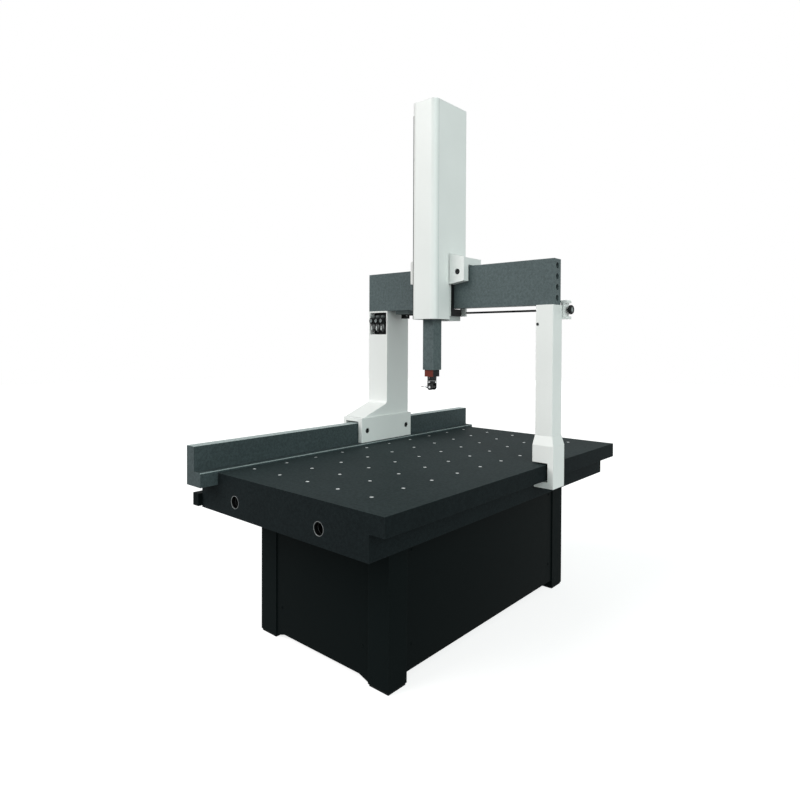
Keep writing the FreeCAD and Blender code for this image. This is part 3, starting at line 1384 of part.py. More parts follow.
def make_stylus():
    """Stem with a ball tip; it tips about the two pins of a small cross."""
    centre = (d.axis_y, d.tilt_z)
    seat_x = probe_front - d.seat_gap - d.seat_radius
    keep(fuse(
        rod("z", (seat_x, d.axis_y), d.seat_radius, d.tilt_z - d.seat_half, d.tilt_z + d.seat_half),
        rod("y", (seat_x, d.tilt_z), d.seat_radius, d.axis_y - d.seat_half, d.axis_y + d.seat_half)),
        "stylus_seat")
    start = seat_x - d.seat_radius - d.air_gap
    tip = start - d.stylus_length
    keep(fuse(rod("x", centre, d.stylus_radius, tip, start), ball("x", tip, *centre, d.ball_radius)),
         "stylus")


def ball(axis, x, y, z, radius):
    """Sphere with its poles along an axis."""
    sphere = doc.addObject("Part::Sphere", "ball")
    bind(sphere, "Radius", radius)
    sphere.Placement = Placement(Vector(), ALONG[axis])
    place(sphere, x, y, z)
    return sphere


for make in (
        make_stand_frame, make_isolation_pads, make_panels, make_base_screws, make_granite_table,
        make_table_inserts, make_guide_rail, make_y_scale, make_y_drive, make_left_saddle,
        make_left_column, make_bridge_air_pads, make_bridge_screws, make_beam, make_x_scale,
        make_right_column, make_right_leg, make_drive_arm, make_read_heads, make_x_drive,
        make_x_tensioner, make_regulators, make_carriage_frame, make_carriage_air_pads,
        make_carriage_underside, make_z_cover, make_ram_guides, make_z_drive, make_counterweight,
        make_ram, make_ram_clamp, make_probe):
    make()

doc.recompute()
failed = [o.Label for o in doc.Objects if {"Invalid", "Error"} & set(o.State)]
if failed:
    raise RuntimeError(f"not built: {failed}")
for node in NODES:
    if node.Shape.isNull() or not node.Shape.isValid() or not node.Shape.Solids:
        raise RuntimeError(f"{node.Label}: no valid shape")

os.makedirs("parts", exist_ok=True)
for node in NODES:
    node.Shape.exportStep(f"parts/{node.Label}.step")
print(len(NODES), "nodes written")
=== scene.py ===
import math

import bpy
import numpy as np
from bpy.props import FloatProperty, FloatVectorProperty, IntProperty, PointerProperty
from mathutils import Matrix, Vector


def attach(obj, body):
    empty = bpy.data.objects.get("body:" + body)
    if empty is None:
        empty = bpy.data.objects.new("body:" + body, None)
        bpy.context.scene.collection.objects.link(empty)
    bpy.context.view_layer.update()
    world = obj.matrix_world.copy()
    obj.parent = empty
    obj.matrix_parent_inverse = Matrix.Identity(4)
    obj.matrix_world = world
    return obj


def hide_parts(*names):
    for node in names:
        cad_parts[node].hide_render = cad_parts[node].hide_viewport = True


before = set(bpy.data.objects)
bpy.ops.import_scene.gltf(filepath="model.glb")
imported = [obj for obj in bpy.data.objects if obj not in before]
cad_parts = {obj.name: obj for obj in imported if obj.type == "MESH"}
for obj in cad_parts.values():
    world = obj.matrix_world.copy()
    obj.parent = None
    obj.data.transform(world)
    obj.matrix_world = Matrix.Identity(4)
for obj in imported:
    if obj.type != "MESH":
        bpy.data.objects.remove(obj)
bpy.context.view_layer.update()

bl_info = {
    "name": "Bridge measuring machine",
    "version": (1, 0, 0),
    "blender": (4, 5, 0),
    "location": "3D View > Sidebar > Measuring machine",
    "description": "Finishes and fine pieces of a bridge type coordinate measuring machine",
    "category": "Object",
}

# The drawing frame (front left insert, top of the granite) seen from the model's frame.
ORIGIN = np.array([-0.4225, -0.869, 0.860])


# The planes and axes below are in millimetres of the drawing frame.
INSERT_SPACING = 200.0
RAM_X, RAM_Y, TILT_Z = 345.5, 983.0, 370.0
TILT = (RAM_X, RAM_Y, TILT_Z)
PAD_Y = (891.0, 1257.0)
WING_X = (185.0, 484.0)
Y_DRIVE_X, Y_DRIVE_Z = -221.0, -152.0
X_DRIVE_Y, X_DRIVE_Z = 1203.5, 804.0
Z_DRIVE_Y = 1062.0
REGULATOR_X, REGULATOR_Y = (-217.5, -175.5, -133.5), 1083.0
# Sockets of a Mix node that mixes colours
FACTOR, FIRST, SECOND, MIXED = 0, 6, 7, 2


# Settings

def number(name, description, default, kind=FloatProperty, **limits):
    return kind(name=name, description=description, default=default, **limits)


def vector(name, description, default, **options):
    return FloatVectorProperty(name=name, description=description, default=default,
                               size=len(default), **options)


def tint(name, description, default):
    return vector(name, description, default, subtype="COLOR")


# Shader helpers

class Shader:
    """A node tree being wired: makes nodes, links them and sets plain values."""

    def __init__(self, name):
        self.material = bpy.data.materials.new(name)
        self.material.use_nodes = True
        self.tree = self.material.node_tree
        self.tree.nodes.clear()
        self.output = self.node("ShaderNodeOutputMaterial")
        self.surface = self.node("ShaderNodeBsdfPrincipled")
        self.link(self.surface, "BSDF", self.output, "Surface")
        self.coordinates = self.node("ShaderNodeTexCoord")

    def node(self, kind, **settings):
        made = self.tree.nodes.new(kind)
        for name, value in settings.items():
            setattr(made, name, value)
        return made

    def link(self, source, output, target, socket):
        self.tree.links.new(source.outputs[output], target.inputs[socket])

    def place(self, stretch=(1.0, 1.0, 1.0)):
        """Object coordinates, stretched to lay grain along an axis."""
        mapping = self.node("ShaderNodeMapping")
        mapping.inputs["Scale"].default_value = stretch
        self.link(self.coordinates, "Object", mapping, "Vector")
        return mapping

    def noise(self, scale, detail=4.0, rough=0.5, stretch=(1.0, 1.0, 1.0)):
        made = self.node("ShaderNodeTexNoise")
        made.inputs["Scale"].default_value = scale
        made.inputs["Detail"].default_value = detail
        made.inputs["Roughness"].default_value = rough
        self.link(self.place(stretch), "Vector", made, "Vector")
        return made

    def spots(self, scale):
        made = self.node("ShaderNodeTexVoronoi", feature="F1")
        made.inputs["Scale"].default_value = scale
        self.link(self.place(), "Vector", made, "Vector")
        return made

    def ramp(self, source, output, stops):
        """Colour ramp through the stops, each a position and a colour or grey level."""
        made = self.node("ShaderNodeValToRGB")
        elements = made.color_ramp.elements
        while len(elements) < len(stops):
            elements.new(0.5)
        for element, (position, colour) in zip(elements, stops):
            element.position = position
            grey = isinstance(colour, float)
            element.color = (colour, colour, colour, 1.0) if grey else (*colour, 1.0)
        self.link(source, output, made, "Fac")
        return made

    def roughness(self, source, low, high):
        """The texture's value moved from 0..1 to a range of roughness."""
        made = self.node("ShaderNodeMapRange")
        made.inputs["To Min"].default_value = low
        made.inputs["To Max"].default_value = high
        self.link(source, "Fac", made, "Value")
        self.link(made, "Result", self.surface, "Roughness")

    def above(self, axis, level):
        """One where the object coordinate along an axis lies above a level."""
        split = self.node("ShaderNodeSeparateXYZ")
        self.link(self.coordinates, "Object", split, "Vector")
        test = self.node("ShaderNodeMath", operation="GREATER_THAN")
        test.inputs[1].default_value = level
        self.link(split, axis, test, 0)
        return test

    def both(self, first, second):
        made = self.node("ShaderNodeMath", operation="MULTIPLY")
        self.link(first, 0, made, 0)
        self.link(second, 0, made, 1)
        return made

    def blend(self, factor, output, first, second, mode="MIX", amount=None):
        """Two colour sources, or plain colours, mixed by a factor."""
        made = self.node("ShaderNodeMix", data_type="RGBA", blend_type=mode)
        if factor is None:
            made.inputs[FACTOR].default_value = amount
        else:
            self.link(factor, output, made, FACTOR)
        for socket, colour in ((FIRST, first), (SECOND, second)):
            if isinstance(colour, tuple) and isinstance(colour[0], float):
                made.inputs[socket].default_value = (*colour, 1.0)
            else:
                self.tree.links.new(colour[0].outputs[colour[1]], made.inputs[socket])
        return made

    def rounded(self, width):
        """Normal of an edge rounded over by a width."""
        made = self.node("ShaderNodeBevel", samples=6)
        made.inputs["Radius"].default_value = width
        return made

    def bump(self, source, output, strength, distance, under=None):
        made = self.node("ShaderNodeBump")
        made.inputs["Strength"].default_value = strength
        made.inputs["Distance"].default_value = distance
        self.link(source, output, made, "Height")
        if under:
            self.link(under, "Normal", made, "Normal")
        self.link(made, "Normal", self.surface, "Normal")

    def edge(self, bevel, amount):
        """Mask that is strongest where an edge rounded by the bevel turns away: where edges are
        painted lighter, partly as wear and partly as a painted highlight.
        """
        geometry = self.node("ShaderNodeNewGeometry")
        dot = self.node("ShaderNodeVectorMath", operation="DOT_PRODUCT")
        self.link(bevel, "Normal", dot, 0)
        self.link(geometry, "Normal", dot, 1)
        return self.ramp(dot, "Value", [(0.80, amount), (0.99, 0.0)])

    def set(self, **values):
        for name, value in values.items():
            self.surface.inputs[name.replace("_", " ")].default_value = value


def granite(name, dark, light, flecks, rough, specular, top=None, strip=None):
    """Fine grained granite: two sizes of grain, slow clouds and a few pale flecks.

    top gives a level and the tone of the faces above it: lapped stone, which on the rail is painted
    pale as a painted reflection; strip gives the X and Z beyond which an edge takes that tone too,
    a painted reflection."""
    s = Shader(name)
    grain = s.noise(420.0, detail=6.0, rough=0.75)
    mottle = s.noise(70.0, detail=4.0, rough=0.6)
    cloud = s.noise(4.0, detail=3.0)
    body = s.ramp(grain, "Fac", [(0.34, dark), (0.68, light)])
    if top:
        level, dark_top, light_top = top
        # Faces above the level take the top tone: lapped stone on the table, and on the rail a
        # painted reflection.
        lapped_and_reflection_tone = s.ramp(grain, "Fac", [(0.34, dark_top), (0.68, light_top)])
        body_out = s.blend(s.above("Z", level), 0, (body, "Color"), (lapped_and_reflection_tone, "Color")), MIXED
        # The strip's edge takes that tone too: a painted reflection along the rail's ledge.
        if strip:
            edge = s.both(s.above("X", strip[0]), s.above("Z", strip[1]))
            body_out = s.blend(edge, 0, body_out, (lapped_and_reflection_tone, "Color")), MIXED
    else:
        body_out = body, "Color"
    patches = s.ramp(mottle, "Fac", [(0.38, 0.74), (0.62, 1.0)])
    tone = s.ramp(cloud, "Fac", [(0.25, 0.86), (0.75, 1.0)])
    patched = s.blend(None, None, body_out, (patches, "Color"), "MULTIPLY", 1.0)
    toned = s.blend(None, None, (patched, MIXED), (tone, "Color"), "MULTIPLY", 1.0)
    cells = s.spots(520.0)
    fleck = s.ramp(cells, "Distance", [(0.08, 0.8), (0.20, 0.0)])
    colour = s.blend(fleck, "Color", (toned, MIXED), flecks)
    bevel = s.rounded(0.0025)
    # Edges are painted pale with the fleck colour: partly wear, partly a painted highlight.
    edge_wear_and_highlight = s.blend(s.edge(bevel, 0.5), "Color", (colour, MIXED), flecks)
    s.link(edge_wear_and_highlight, MIXED, s.surface, "Base Color")
    s.roughness(grain, rough - 0.06, rough + 0.10)
    s.bump(grain, "Fac", 0.12, 0.0004, bevel)
    s.set(Specular_IOR_Level=specular)
    return s.material


def paint(name, colour, rough, peel=0.00025, grain=260.0, edge_wear_and_highlight_tone=None, specular=0.5, edge=0.003,
          above=None):
    """Sprayed coat: orange peel, a slow change of tone, and rounded edges painted lighter, partly
    as wear and partly as a painted highlight.

    above gives a level and the colour of what lies over it."""
    s = Shader(name)
    peel_map = s.noise(grain, detail=2.0, rough=0.4)
    cloud = s.noise(3.1, detail=4.0)
    darker = tuple(c * 0.955 for c in colour)
    tone = s.ramp(cloud, "Fac", [(0.3, darker), (0.72, colour)])
    edge_wear_and_highlight_colour = edge_wear_and_highlight_tone or tuple(min(1.0, c * 1.08 + 0.01) for c in colour)
    bevel = s.rounded(edge)
    # Rounded edges are painted lighter: partly wear, partly a painted highlight.
    edge_wear_and_highlight = s.blend(s.edge(bevel, 0.6), "Color", (tone, "Color"), edge_wear_and_highlight_colour)
    if above:
        edge_wear_and_highlight = s.blend(s.above("Z", above[0]), 0, (edge_wear_and_highlight, MIXED), above[1])
    s.link(edge_wear_and_highlight, MIXED, s.surface, "Base Color")
    dust = s.noise(34.0, detail=5.0, rough=0.6)
    s.roughness(dust, rough - 0.05, rough + 0.12)
    s.bump(peel_map, "Fac", 0.25, peel, bevel)
    s.set(Specular_IOR_Level=specular)
    return s.material


def metal(name, colour, rough):
    """Machined metal with fine tool marks across Z."""
    s = Shader(name)
    marks = s.noise(900.0, detail=3.0, stretch=(1.0, 1.0, 30.0))
    cloud = s.noise(24.0, detail=4.0)
    darker = tuple(c * 0.80 for c in colour)
    tone = s.ramp(cloud, "Fac", [(0.3, darker), (0.7, colour)])
    s.link(tone, "Color", s.surface, "Base Color")
    s.roughness(marks, rough - 0.08, rough + 0.12)
    s.bump(marks, "Fac", 0.15, 0.00008)
    s.set(Metallic=1.0, Specular_IOR_Level=0.5)
    return s.material


def plastic(name, colour, rough, texture=700.0, depth=0.0001, specular=0.5):
    """Moulded plastic: spark eroded texture and edges painted lighter, a painted highlight."""
    s = Shader(name)
    leather = s.spots(texture)
    cloud = s.noise(40.0, detail=3.0)
    lighter = tuple(min(1.0, c * 1.35 + 0.004) for c in colour)
    tone = s.ramp(cloud, "Fac", [(0.35, colour), (0.8, lighter)])
    bevel = s.rounded(0.0006)
    # Edges are painted lighter: a painted highlight.
    edge_wear_and_highlight = s.blend(s.edge(bevel, 0.6), "Color", (tone, "Color"),
                     tuple(c * 1.8 + 0.02 for c in colour))
    s.link(edge_wear_and_highlight, MIXED, s.surface, "Base Color")
    s.roughness(cloud, rough - 0.06, rough + 0.10)
    s.bump(leather, "Distance", 0.3, depth, bevel)
    s.set(Specular_IOR_Level=specular)
    return s.material


def scale_tape(name, axis):
    """Steel tape with fine cross lines along one axis."""
    s = Shader(name)
    lines = s.node("ShaderNodeTexWave", wave_type="BANDS", bands_direction=axis)
    lines.inputs["Scale"].default_value = 150.0
    s.link(s.place(), "Vector", lines, "Vector")
    tone = s.ramp(lines, "Fac", [(0.45, (0.62, 0.60, 0.52)), (0.55, (0.30, 0.29, 0.25))])
    s.link(tone, "Color", s.surface, "Base Color")
    smudge = s.noise(60.0)
    s.roughness(smudge, 0.22, 0.42)
    s.set(Metallic=0.9)
    return s.material


class PaintSettings(bpy.types.PropertyGroup):
    white: tint("White paint", "Colour of the painted castings", (0.845, 0.86, 0.845))
    stand: tint("Stand paint", "Colour of the stand and its panels", (0.0052, 0.0078, 0.0080))
    stone: tint("Beam granite", "Light grain of the beam and the ram", (0.136, 0.176, 0.182))
    top: tint("Lapped granite", "Light grain of the work surface", (0.040, 0.056, 0.058))


def shade(colour, share):
    return tuple(c * share for c in colour)


FINISHES = {}


def finish(name):
    """Material by name, made on first use."""
    if name not in FINISHES:
        FINISHES[name] = RECIPES[name](name, bpy.context.scene.cmm_paint)
    return FINISHES[name]


# Where a finish changes, in metres of the model's frame: three levels, and an X with a Z
WORK_SURFACE = 0.8595
RAIL_TOP = 0.9890
LEDGE_EDGE = (-0.4885, 0.8660)
HOUSING_FLANGE = 1.6652
RECIPES = {
    "table_granite": lambda n, p: granite(
        n, (0.0070, 0.0100, 0.0110), (0.0185, 0.0250, 0.0270), (0.035, 0.045, 0.046), 0.55, 0.015,
        (WORK_SURFACE, shade(p.top, 0.62), tuple(p.top))),
    # The rail's pale top and ledge edge are a painted reflection of the white surroundings, seen at
    # a grazing angle.
    "rail_granite": lambda n, p: granite(
        n, (0.044, 0.060, 0.063), (0.092, 0.120, 0.126), (0.11, 0.14, 0.14), 0.45, 0.06,
        (RAIL_TOP, (0.42, 0.50, 0.50), (0.55, 0.63, 0.63)), LEDGE_EDGE),
    "beam_granite": lambda n, p: granite(
        n, shade(p.stone, 0.62), tuple(p.stone), shade(p.stone, 1.7), 0.44, 0.12),
    "white_paint": lambda n, p: paint(n, tuple(p.white), 0.36),
    "cover_paint": lambda n, p: paint(n, shade(p.white, 1.015), 0.28, peel=0.00018),
    "light_grey_paint": lambda n, p: paint(n, (0.40, 0.43, 0.42), 0.36),
    # The grey band above the flange is two-tone paint, made lighter than the beam it matches:
    # painted light against the shade under the beam.
    "housing_paint": lambda n, p: paint(
        n, (0.008, 0.010, 0.010), 0.45, specular=0.1,
        above=(HOUSING_FLANGE, (0.22, 0.26, 0.265))),
    # The lighter edge tone of the stand's paint is partly wear and partly a painted highlight.
    "black_paint": lambda n, p: paint(
        n, tuple(p.stand), 0.46, peel=0.0004, grain=900.0, edge_wear_and_highlight_tone=(0.018, 0.022, 0.022),
        specular=0.01),
    "panel_paint": lambda n, p: paint(
        n, shade(p.stand, 0.85), 0.36, peel=0.0003, grain=700.0, edge_wear_and_highlight_tone=(0.014, 0.017, 0.017),
        specular=0.01),
    "red_paint": lambda n, p: paint(n, (0.150, 0.032, 0.022), 0.38, specular=0.12, edge=0.001),
    "black_plastic": lambda n, p: plastic(n, (0.0065, 0.008, 0.0085), 0.38, specular=0.10),
    "knob_plastic": lambda n, p: plastic(n, (0.070, 0.082, 0.082), 0.40, specular=0.3),
    "gloss_plastic": lambda n, p: plastic(n, (0.004, 0.005, 0.0055), 0.16, specular=0.30),
    "smoked_bowl": lambda n, p: plastic(
        n, (0.020, 0.024, 0.024), 0.10, depth=0.00002, specular=0.8),
    # Pale tone of the bowls' sight windows: a painted highlight, the bowls' bright streaks.
    "sight_glass": lambda n, p: plastic(n, (0.62, 0.66, 0.65), 0.12, depth=0.00002),
    "dial_face": lambda n, p: plastic(n, (0.17, 0.20, 0.20), 0.30, depth=0.00001),
    "rubber": lambda n, p: plastic(n, (0.010, 0.011, 0.011), 0.75, texture=1400.0, specular=0.1),
    "belt_rubber": lambda n, p: plastic(
        n, (0.012, 0.014, 0.014), 0.60, texture=1400.0, specular=0.2),
    "aluminium": lambda n, p: metal(n, (0.72, 0.73, 0.74), 0.34),
    "insert_steel": lambda n, p: metal(n, (0.72, 0.76, 0.76), 0.42),
    "steel": lambda n, p: metal(n, (0.58, 0.59, 0.60), 0.26),
    "grey_steel": lambda n, p: metal(n, (0.22, 0.235, 0.235), 0.45),
    "black_steel": lambda n, p: metal(n, (0.035, 0.037, 0.038), 0.42),
    "y_tape": lambda n, p: scale_tape(n, "Y"),
    "x_tape": lambda n, p: scale_tape(n, "X"),
    "z_tape": lambda n, p: scale_tape(n, "Z"),
    "ruby": lambda n, p: plastic(n, (0.22, 0.010, 0.020), 0.12, depth=0.00001),
    "joint_line": lambda n, p: plastic(n, (0.42, 0.46, 0.455), 0.6, specular=0.2),
}

FINISH_NODES = {
    "black_paint": "stand_frame y_drive_brackets",
    "panel_paint": "stand_panels",
    "rubber": "isolation_pads",
    "black_steel": "base_screws bridge_screws wing_pad_screws",
    "table_granite": "granite_table",
    "insert_steel": "table_inserts",
    "rail_granite": "y_guide_rail",
    "y_tape": "y_scale_tape",
    "belt_rubber": "y_drive_belt x_drive_belt z_drive_belt",
    "black_plastic":
        "y_drive_motor y_read_head x_drive_motor air_regulators tension_knob "
        "regulator_knob_1 regulator_knob_2 regulator_knob_3 junction_box "
        "carriage_read_heads z_drive_motor probe_adapter probe_head_base "
        "probe_head_swivel",
    "aluminium":
        "y_idler_pulley y_drive_pulley bridge_air_pads x_drive_pulley x_idler_pulley "
        "carriage_air_pads ram_guide_blocks z_tower_frame z_lower_pulley z_upper_pulley "
        "ram_belt_clamp probe_knuckle touch_probe",
    "white_paint":
        "left_saddle left_column right_column right_leg y_drive_arm x_tension_bracket "
        "carriage_frame x_belt_clamp",
    "beam_granite": "granite_beam granite_ram",
    "x_tape": "x_scale_tape",
    "housing_paint": "x_drive_housing",
    "light_grey_paint": "carriage_bottom_plate",
    "cover_paint": "z_cover",
    "steel": "counterweight stylus_seat",
    "z_tape": "z_scale_tape",
    "red_paint": "adapter_front_plate",
    "ruby": "stylus",
}


class CMM_OT_finishes(bpy.types.Operator):
    """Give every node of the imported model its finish"""
    bl_idname = "cmm.finishes"
    bl_label = "Finishes"

    def execute(self, context):
        for name, nodes in FINISH_NODES.items():
            for node in nodes.split():
                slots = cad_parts[node].data.materials
                slots.clear()
                slots.append(finish(name))
        return {"FINISHED"}


# Surfaces

X_AXIS = (1.0, 0.0, 0.0)
Y_AXIS = (0.0, 1.0, 0.0)
Z_AXIS = (0.0, 0.0, 1.0)


def facing(axis, sign=-1.0):
    return tuple(sign * c for c in axis)


def hexagon(turn):
    """Radius of a hexagon against its corner radius: cos 30 / cos(angle within a side - 30)."""
    return math.cos(math.pi / 6) / np.cos(turn % (math.pi / 3) - math.pi / 6)


def waves(count, depth):
    """Rim with rounded grips: 1 - depth (1 - cos(count t)) / 2."""
    return lambda turn: 1.0 - depth * (1.0 - np.cos(count * turn)) / 2.0


def teeth(count, depth):
    """Rim with straight teeth: full radius over half of each pitch, depth less over the rest."""
    return lambda turn: 1.0 - depth * (np.cos(count * turn + math.pi / 4) < 0.0)


class Skin:
    """One mesh gathered from closed grids of points, in millimetres of the drawing frame."""

    def __init__(self):
        self.points = []
        self.corners = []
        self.sizes = []
        self.marks = []
        self.count = 0

    def grid(self, points, mark=0, closed=False):
        """Faces between rows and columns of a grid whose columns run round.

        A row drawn together in one place is a pole and becomes a single point. With closed,
        the last row joins the first. The enclosed volume's sign turns the faces outwards."""
        rows, columns = points.shape[:2]
        index = np.arange(rows * columns).reshape(rows, columns)
        poles = np.ptp(points, axis=1).max(axis=1) < 1e-6
        index[poles] = index[poles, :1]
        if closed:
            index = np.vstack([index, index[:1]])
        index = np.hstack([index, index[:, :1]])
        quads = np.stack([index[:-1, :-1], index[:-1, 1:], index[1:, 1:], index[1:, :-1]], axis=-1)
        quads = quads.reshape(-1, 4)
        flat = points.reshape(-1, 3)
        a, b, c, e = (flat[quads[:, k]] - flat.mean(axis=0) for k in range(4))
        volume = np.sum(a * np.cross(b, c)) + np.sum(a * np.cross(c, e))
        if volume < 0.0:
            quads = quads[:, ::-1]
        low = quads[:, 0] == quads[:, 1]
        high = quads[:, 2] == quads[:, 3]
        triangles = np.concatenate([quads[low & ~high][:, 1:], quads[high & ~low][:, :3]])
        quads = quads[~low & ~high]
        for faces in (quads, triangles):
            self.corners.append((faces + self.count).ravel())
            self.sizes.append(np.full(len(faces), faces.shape[1]))
            self.marks.append(np.full(len(faces), mark))
        self.points.append(flat)
        self.count += len(flat)

    def turned(self, centre, axis, profile, columns=36, shape=None, mark=0, closed=False):
        """Profile of radius and height carried round an axis:
        centre + r cos t side + r sin t other + h axis.

        A third value in a row is the share of shape(t) that scales its radius."""
        axis = np.array(axis, float)
        side = np.cross(axis, Z_AXIS if abs(axis[2]) < 0.5 else X_AXIS)
        side /= np.linalg.norm(side)
        other = np.cross(axis, side)
        turn = np.linspace(0.0, 2.0 * math.pi, columns, endpoint=False)
        rows = np.array([(*row, 0.0)[:3] for row in profile], float)[:, :, None, None]
        scale = 1.0
        if shape is not None:
            scale = 1.0 + rows[:, 2] * (shape(turn)[None, :, None] - 1.0)
        round_ = np.cos(turn)[None, :, None] * side + np.sin(turn)[None, :, None] * other
        self.grid(np.array(centre, float) + rows[:, 0] * scale * round_ + rows[:, 1] * axis, mark,
            closed)

    def block(self, x, y, z, axis=2, radius=1.0, bevel=0.5, mark=0):
        """Rounded rectangle carried along an axis, its ends bevelled:
        corner centre + (radius - inset) (cos t, sin t), the ends drawn in to a point."""
        spans = (x, y, z)
        first, second = [(axis + 1) % 3, (axis + 2) % 3]
        middles = [sum(spans[k]) / 2 for k in (first, second)]
        halves = [(spans[k][1] - spans[k][0]) / 2 for k in (first, second)]
        turn = (np.arange(4)[:, None] * 90.0 + np.linspace(0.0, 90.0, 6)).ravel()
        corner = np.repeat(np.array([(1, 1), (-1, 1), (-1, -1), (1, -1)], float), 6, axis=0)
        arc = np.stack([np.cos(np.radians(turn)), np.sin(np.radians(turn))], axis=1)
        low, high = spans[axis]
        rows = [(0.0, 0.0, low), (1.0, bevel, low), (1.0, 0.0, low + bevel),
                (1.0, 0.0, high - bevel), (1.0, bevel, high), (0.0, 0.0, high)]
        share, inset, level = (np.array(v)[:, None] for v in zip(*rows))
        points = np.empty((len(rows), len(turn), 3))
        for place, k in enumerate((first, second)):
            reach = corner[:, place] * (halves[place] - radius) + arc[:, place] * (radius - inset)
            points[:, :, k] = middles[place] + share * reach
        points[:, :, axis] = level
        self.grid(points, mark)

    def outline(self, plan, axis, low, high, bevel=0.5, mark=0):
        """Plan of a plate, points in the other two coordinates, carried along an axis with
        bevelled ends: the ends are the plan shrunk towards its middle."""
        plan = np.array(plan, float)
        middle = plan.mean(axis=0)
        reach = np.linalg.norm(plan - middle, axis=1).max()
        rows = [(0.0, low), (1.0 - bevel / reach, low), (1.0, low + bevel),
                (1.0, high - bevel), (1.0 - bevel / reach, high), (0.0, high)]
        share, level = (np.array(v)[:, None] for v in zip(*rows))
        points = np.empty((len(rows), len(plan), 3))
        for place, k in enumerate(((axis + 1) % 3, (axis + 2) % 3)):
            points[:, :, k] = middle[place] + share * (plan[:, place] - middle[place])
        points[:, :, axis] = level
        self.grid(points, mark)

    def belt(self, axis, run, ends, level, middle, inner, half, pitch, thick, tooth):
        """Toothed belt round two pulleys. Along the loop, of two straights and two half circles,
        the inner face steps in by the tooth's height over half of each pitch."""
        lift = 3 - axis - run
        length = ends[1] - ends[0]
        arc = math.pi * inner
        count = int(round(2.0 * (length + arc) / pitch))
        s = np.arange(4 * count) * (2.0 * (length + arc) / (4 * count))
        on = [s < length, s < length + arc, s < 2 * length + arc]
        angle = np.select(on, [0.0 * s, (s - length) / inner, 0.0 * s + math.pi],
                          math.pi + (s - 2 * length - arc) / inner)
        along = np.select(on, [ends[0] + s, ends[1] + 0.0 * s, ends[1] - (s - length - arc)],
                          ends[0] + 0.0 * s)
        root = tooth * (np.arange(4 * count) % 4 >= 2)
        points = np.empty((4 * count, 4, 3))
        for column, (across, depth) in enumerate(
                ((-half, root), (half, root), (half, thick), (-half, thick))):
            points[:, column, axis] = middle + across
            points[:, column, run] = along + (inner + depth) * np.sin(angle)
            points[:, column, lift] = level + (inner + depth) * np.cos(angle)
        self.grid(points, 0, closed=True)

    def bolt(self, under, axis, radius, height, shank, reach, socket=0.52, columns=36):
        """Socket head screw from below its head: shank, bevelled head and a six sided socket."""
        bevel = min(0.12 * radius, 0.3 * height)
        depth = 0.55 * height
        self.turned(under, axis, [
            (0.0, -reach), (shank * 0.8, -reach), (shank, -reach + shank * 0.2), (shank, 0.0),
            (radius, 0.0), (radius, height - bevel), (radius - bevel, height),
            (radius * socket * 1.1, height), (radius * socket, height - bevel / 2, 1.0),
            (radius * socket, height - depth, 1.0), (0.0, height - depth)], columns, hexagon)

    def mesh(self, name):
        corners = np.concatenate(self.corners)
        used, corners = np.unique(corners, return_inverse=True)
        sizes = np.concatenate(self.sizes)
        points = np.concatenate(self.points)[used] / 1000.0 + ORIGIN
        mesh = bpy.data.meshes.new(name)
        mesh.vertices.add(len(points))
        mesh.vertices.foreach_set("co", points.astype(np.float32).ravel())
        mesh.loops.add(len(corners))
        mesh.loops.foreach_set("vertex_index", corners.astype(np.int32).ravel())
        mesh.polygons.add(len(sizes))
        mesh.polygons.foreach_set("loop_start", (np.cumsum(sizes) - sizes).astype(np.int32))
        mesh.polygons.foreach_set("material_index", np.concatenate(self.marks).astype(np.int32))
        mesh.update(calc_edges=True)
        return mesh


def piece(name, skin, body, finishes, replaces=""):
    """Object from a skin: smooth but for its sharp edges, riding on a body.

    finishes and replaces are names with blanks between them."""
    mesh = skin.mesh(name)
    mesh.shade_smooth()
    mesh.set_sharp_from_angle(angle=math.radians(32.0))
    for finish_name in finishes.split():
        mesh.materials.append(finish(finish_name))
    made = bpy.data.objects.new(name, mesh)
    bpy.context.scene.collection.objects.link(made)
    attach(made, body)
    if replaces:
        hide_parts(*replaces.split())
    return made


# Table inserts

class TableSettings(bpy.types.PropertyGroup):
    rim: number("Rim bevel", "Bevel of an insert's rim, in millimetres", 0.6)
    thread: number("Thread pitch", "Pitch of the thread, in millimetres", 1.25)
    lip: number("Sleeve lip", "Bevel of a lifting sleeve, in millimetres", 1.2)


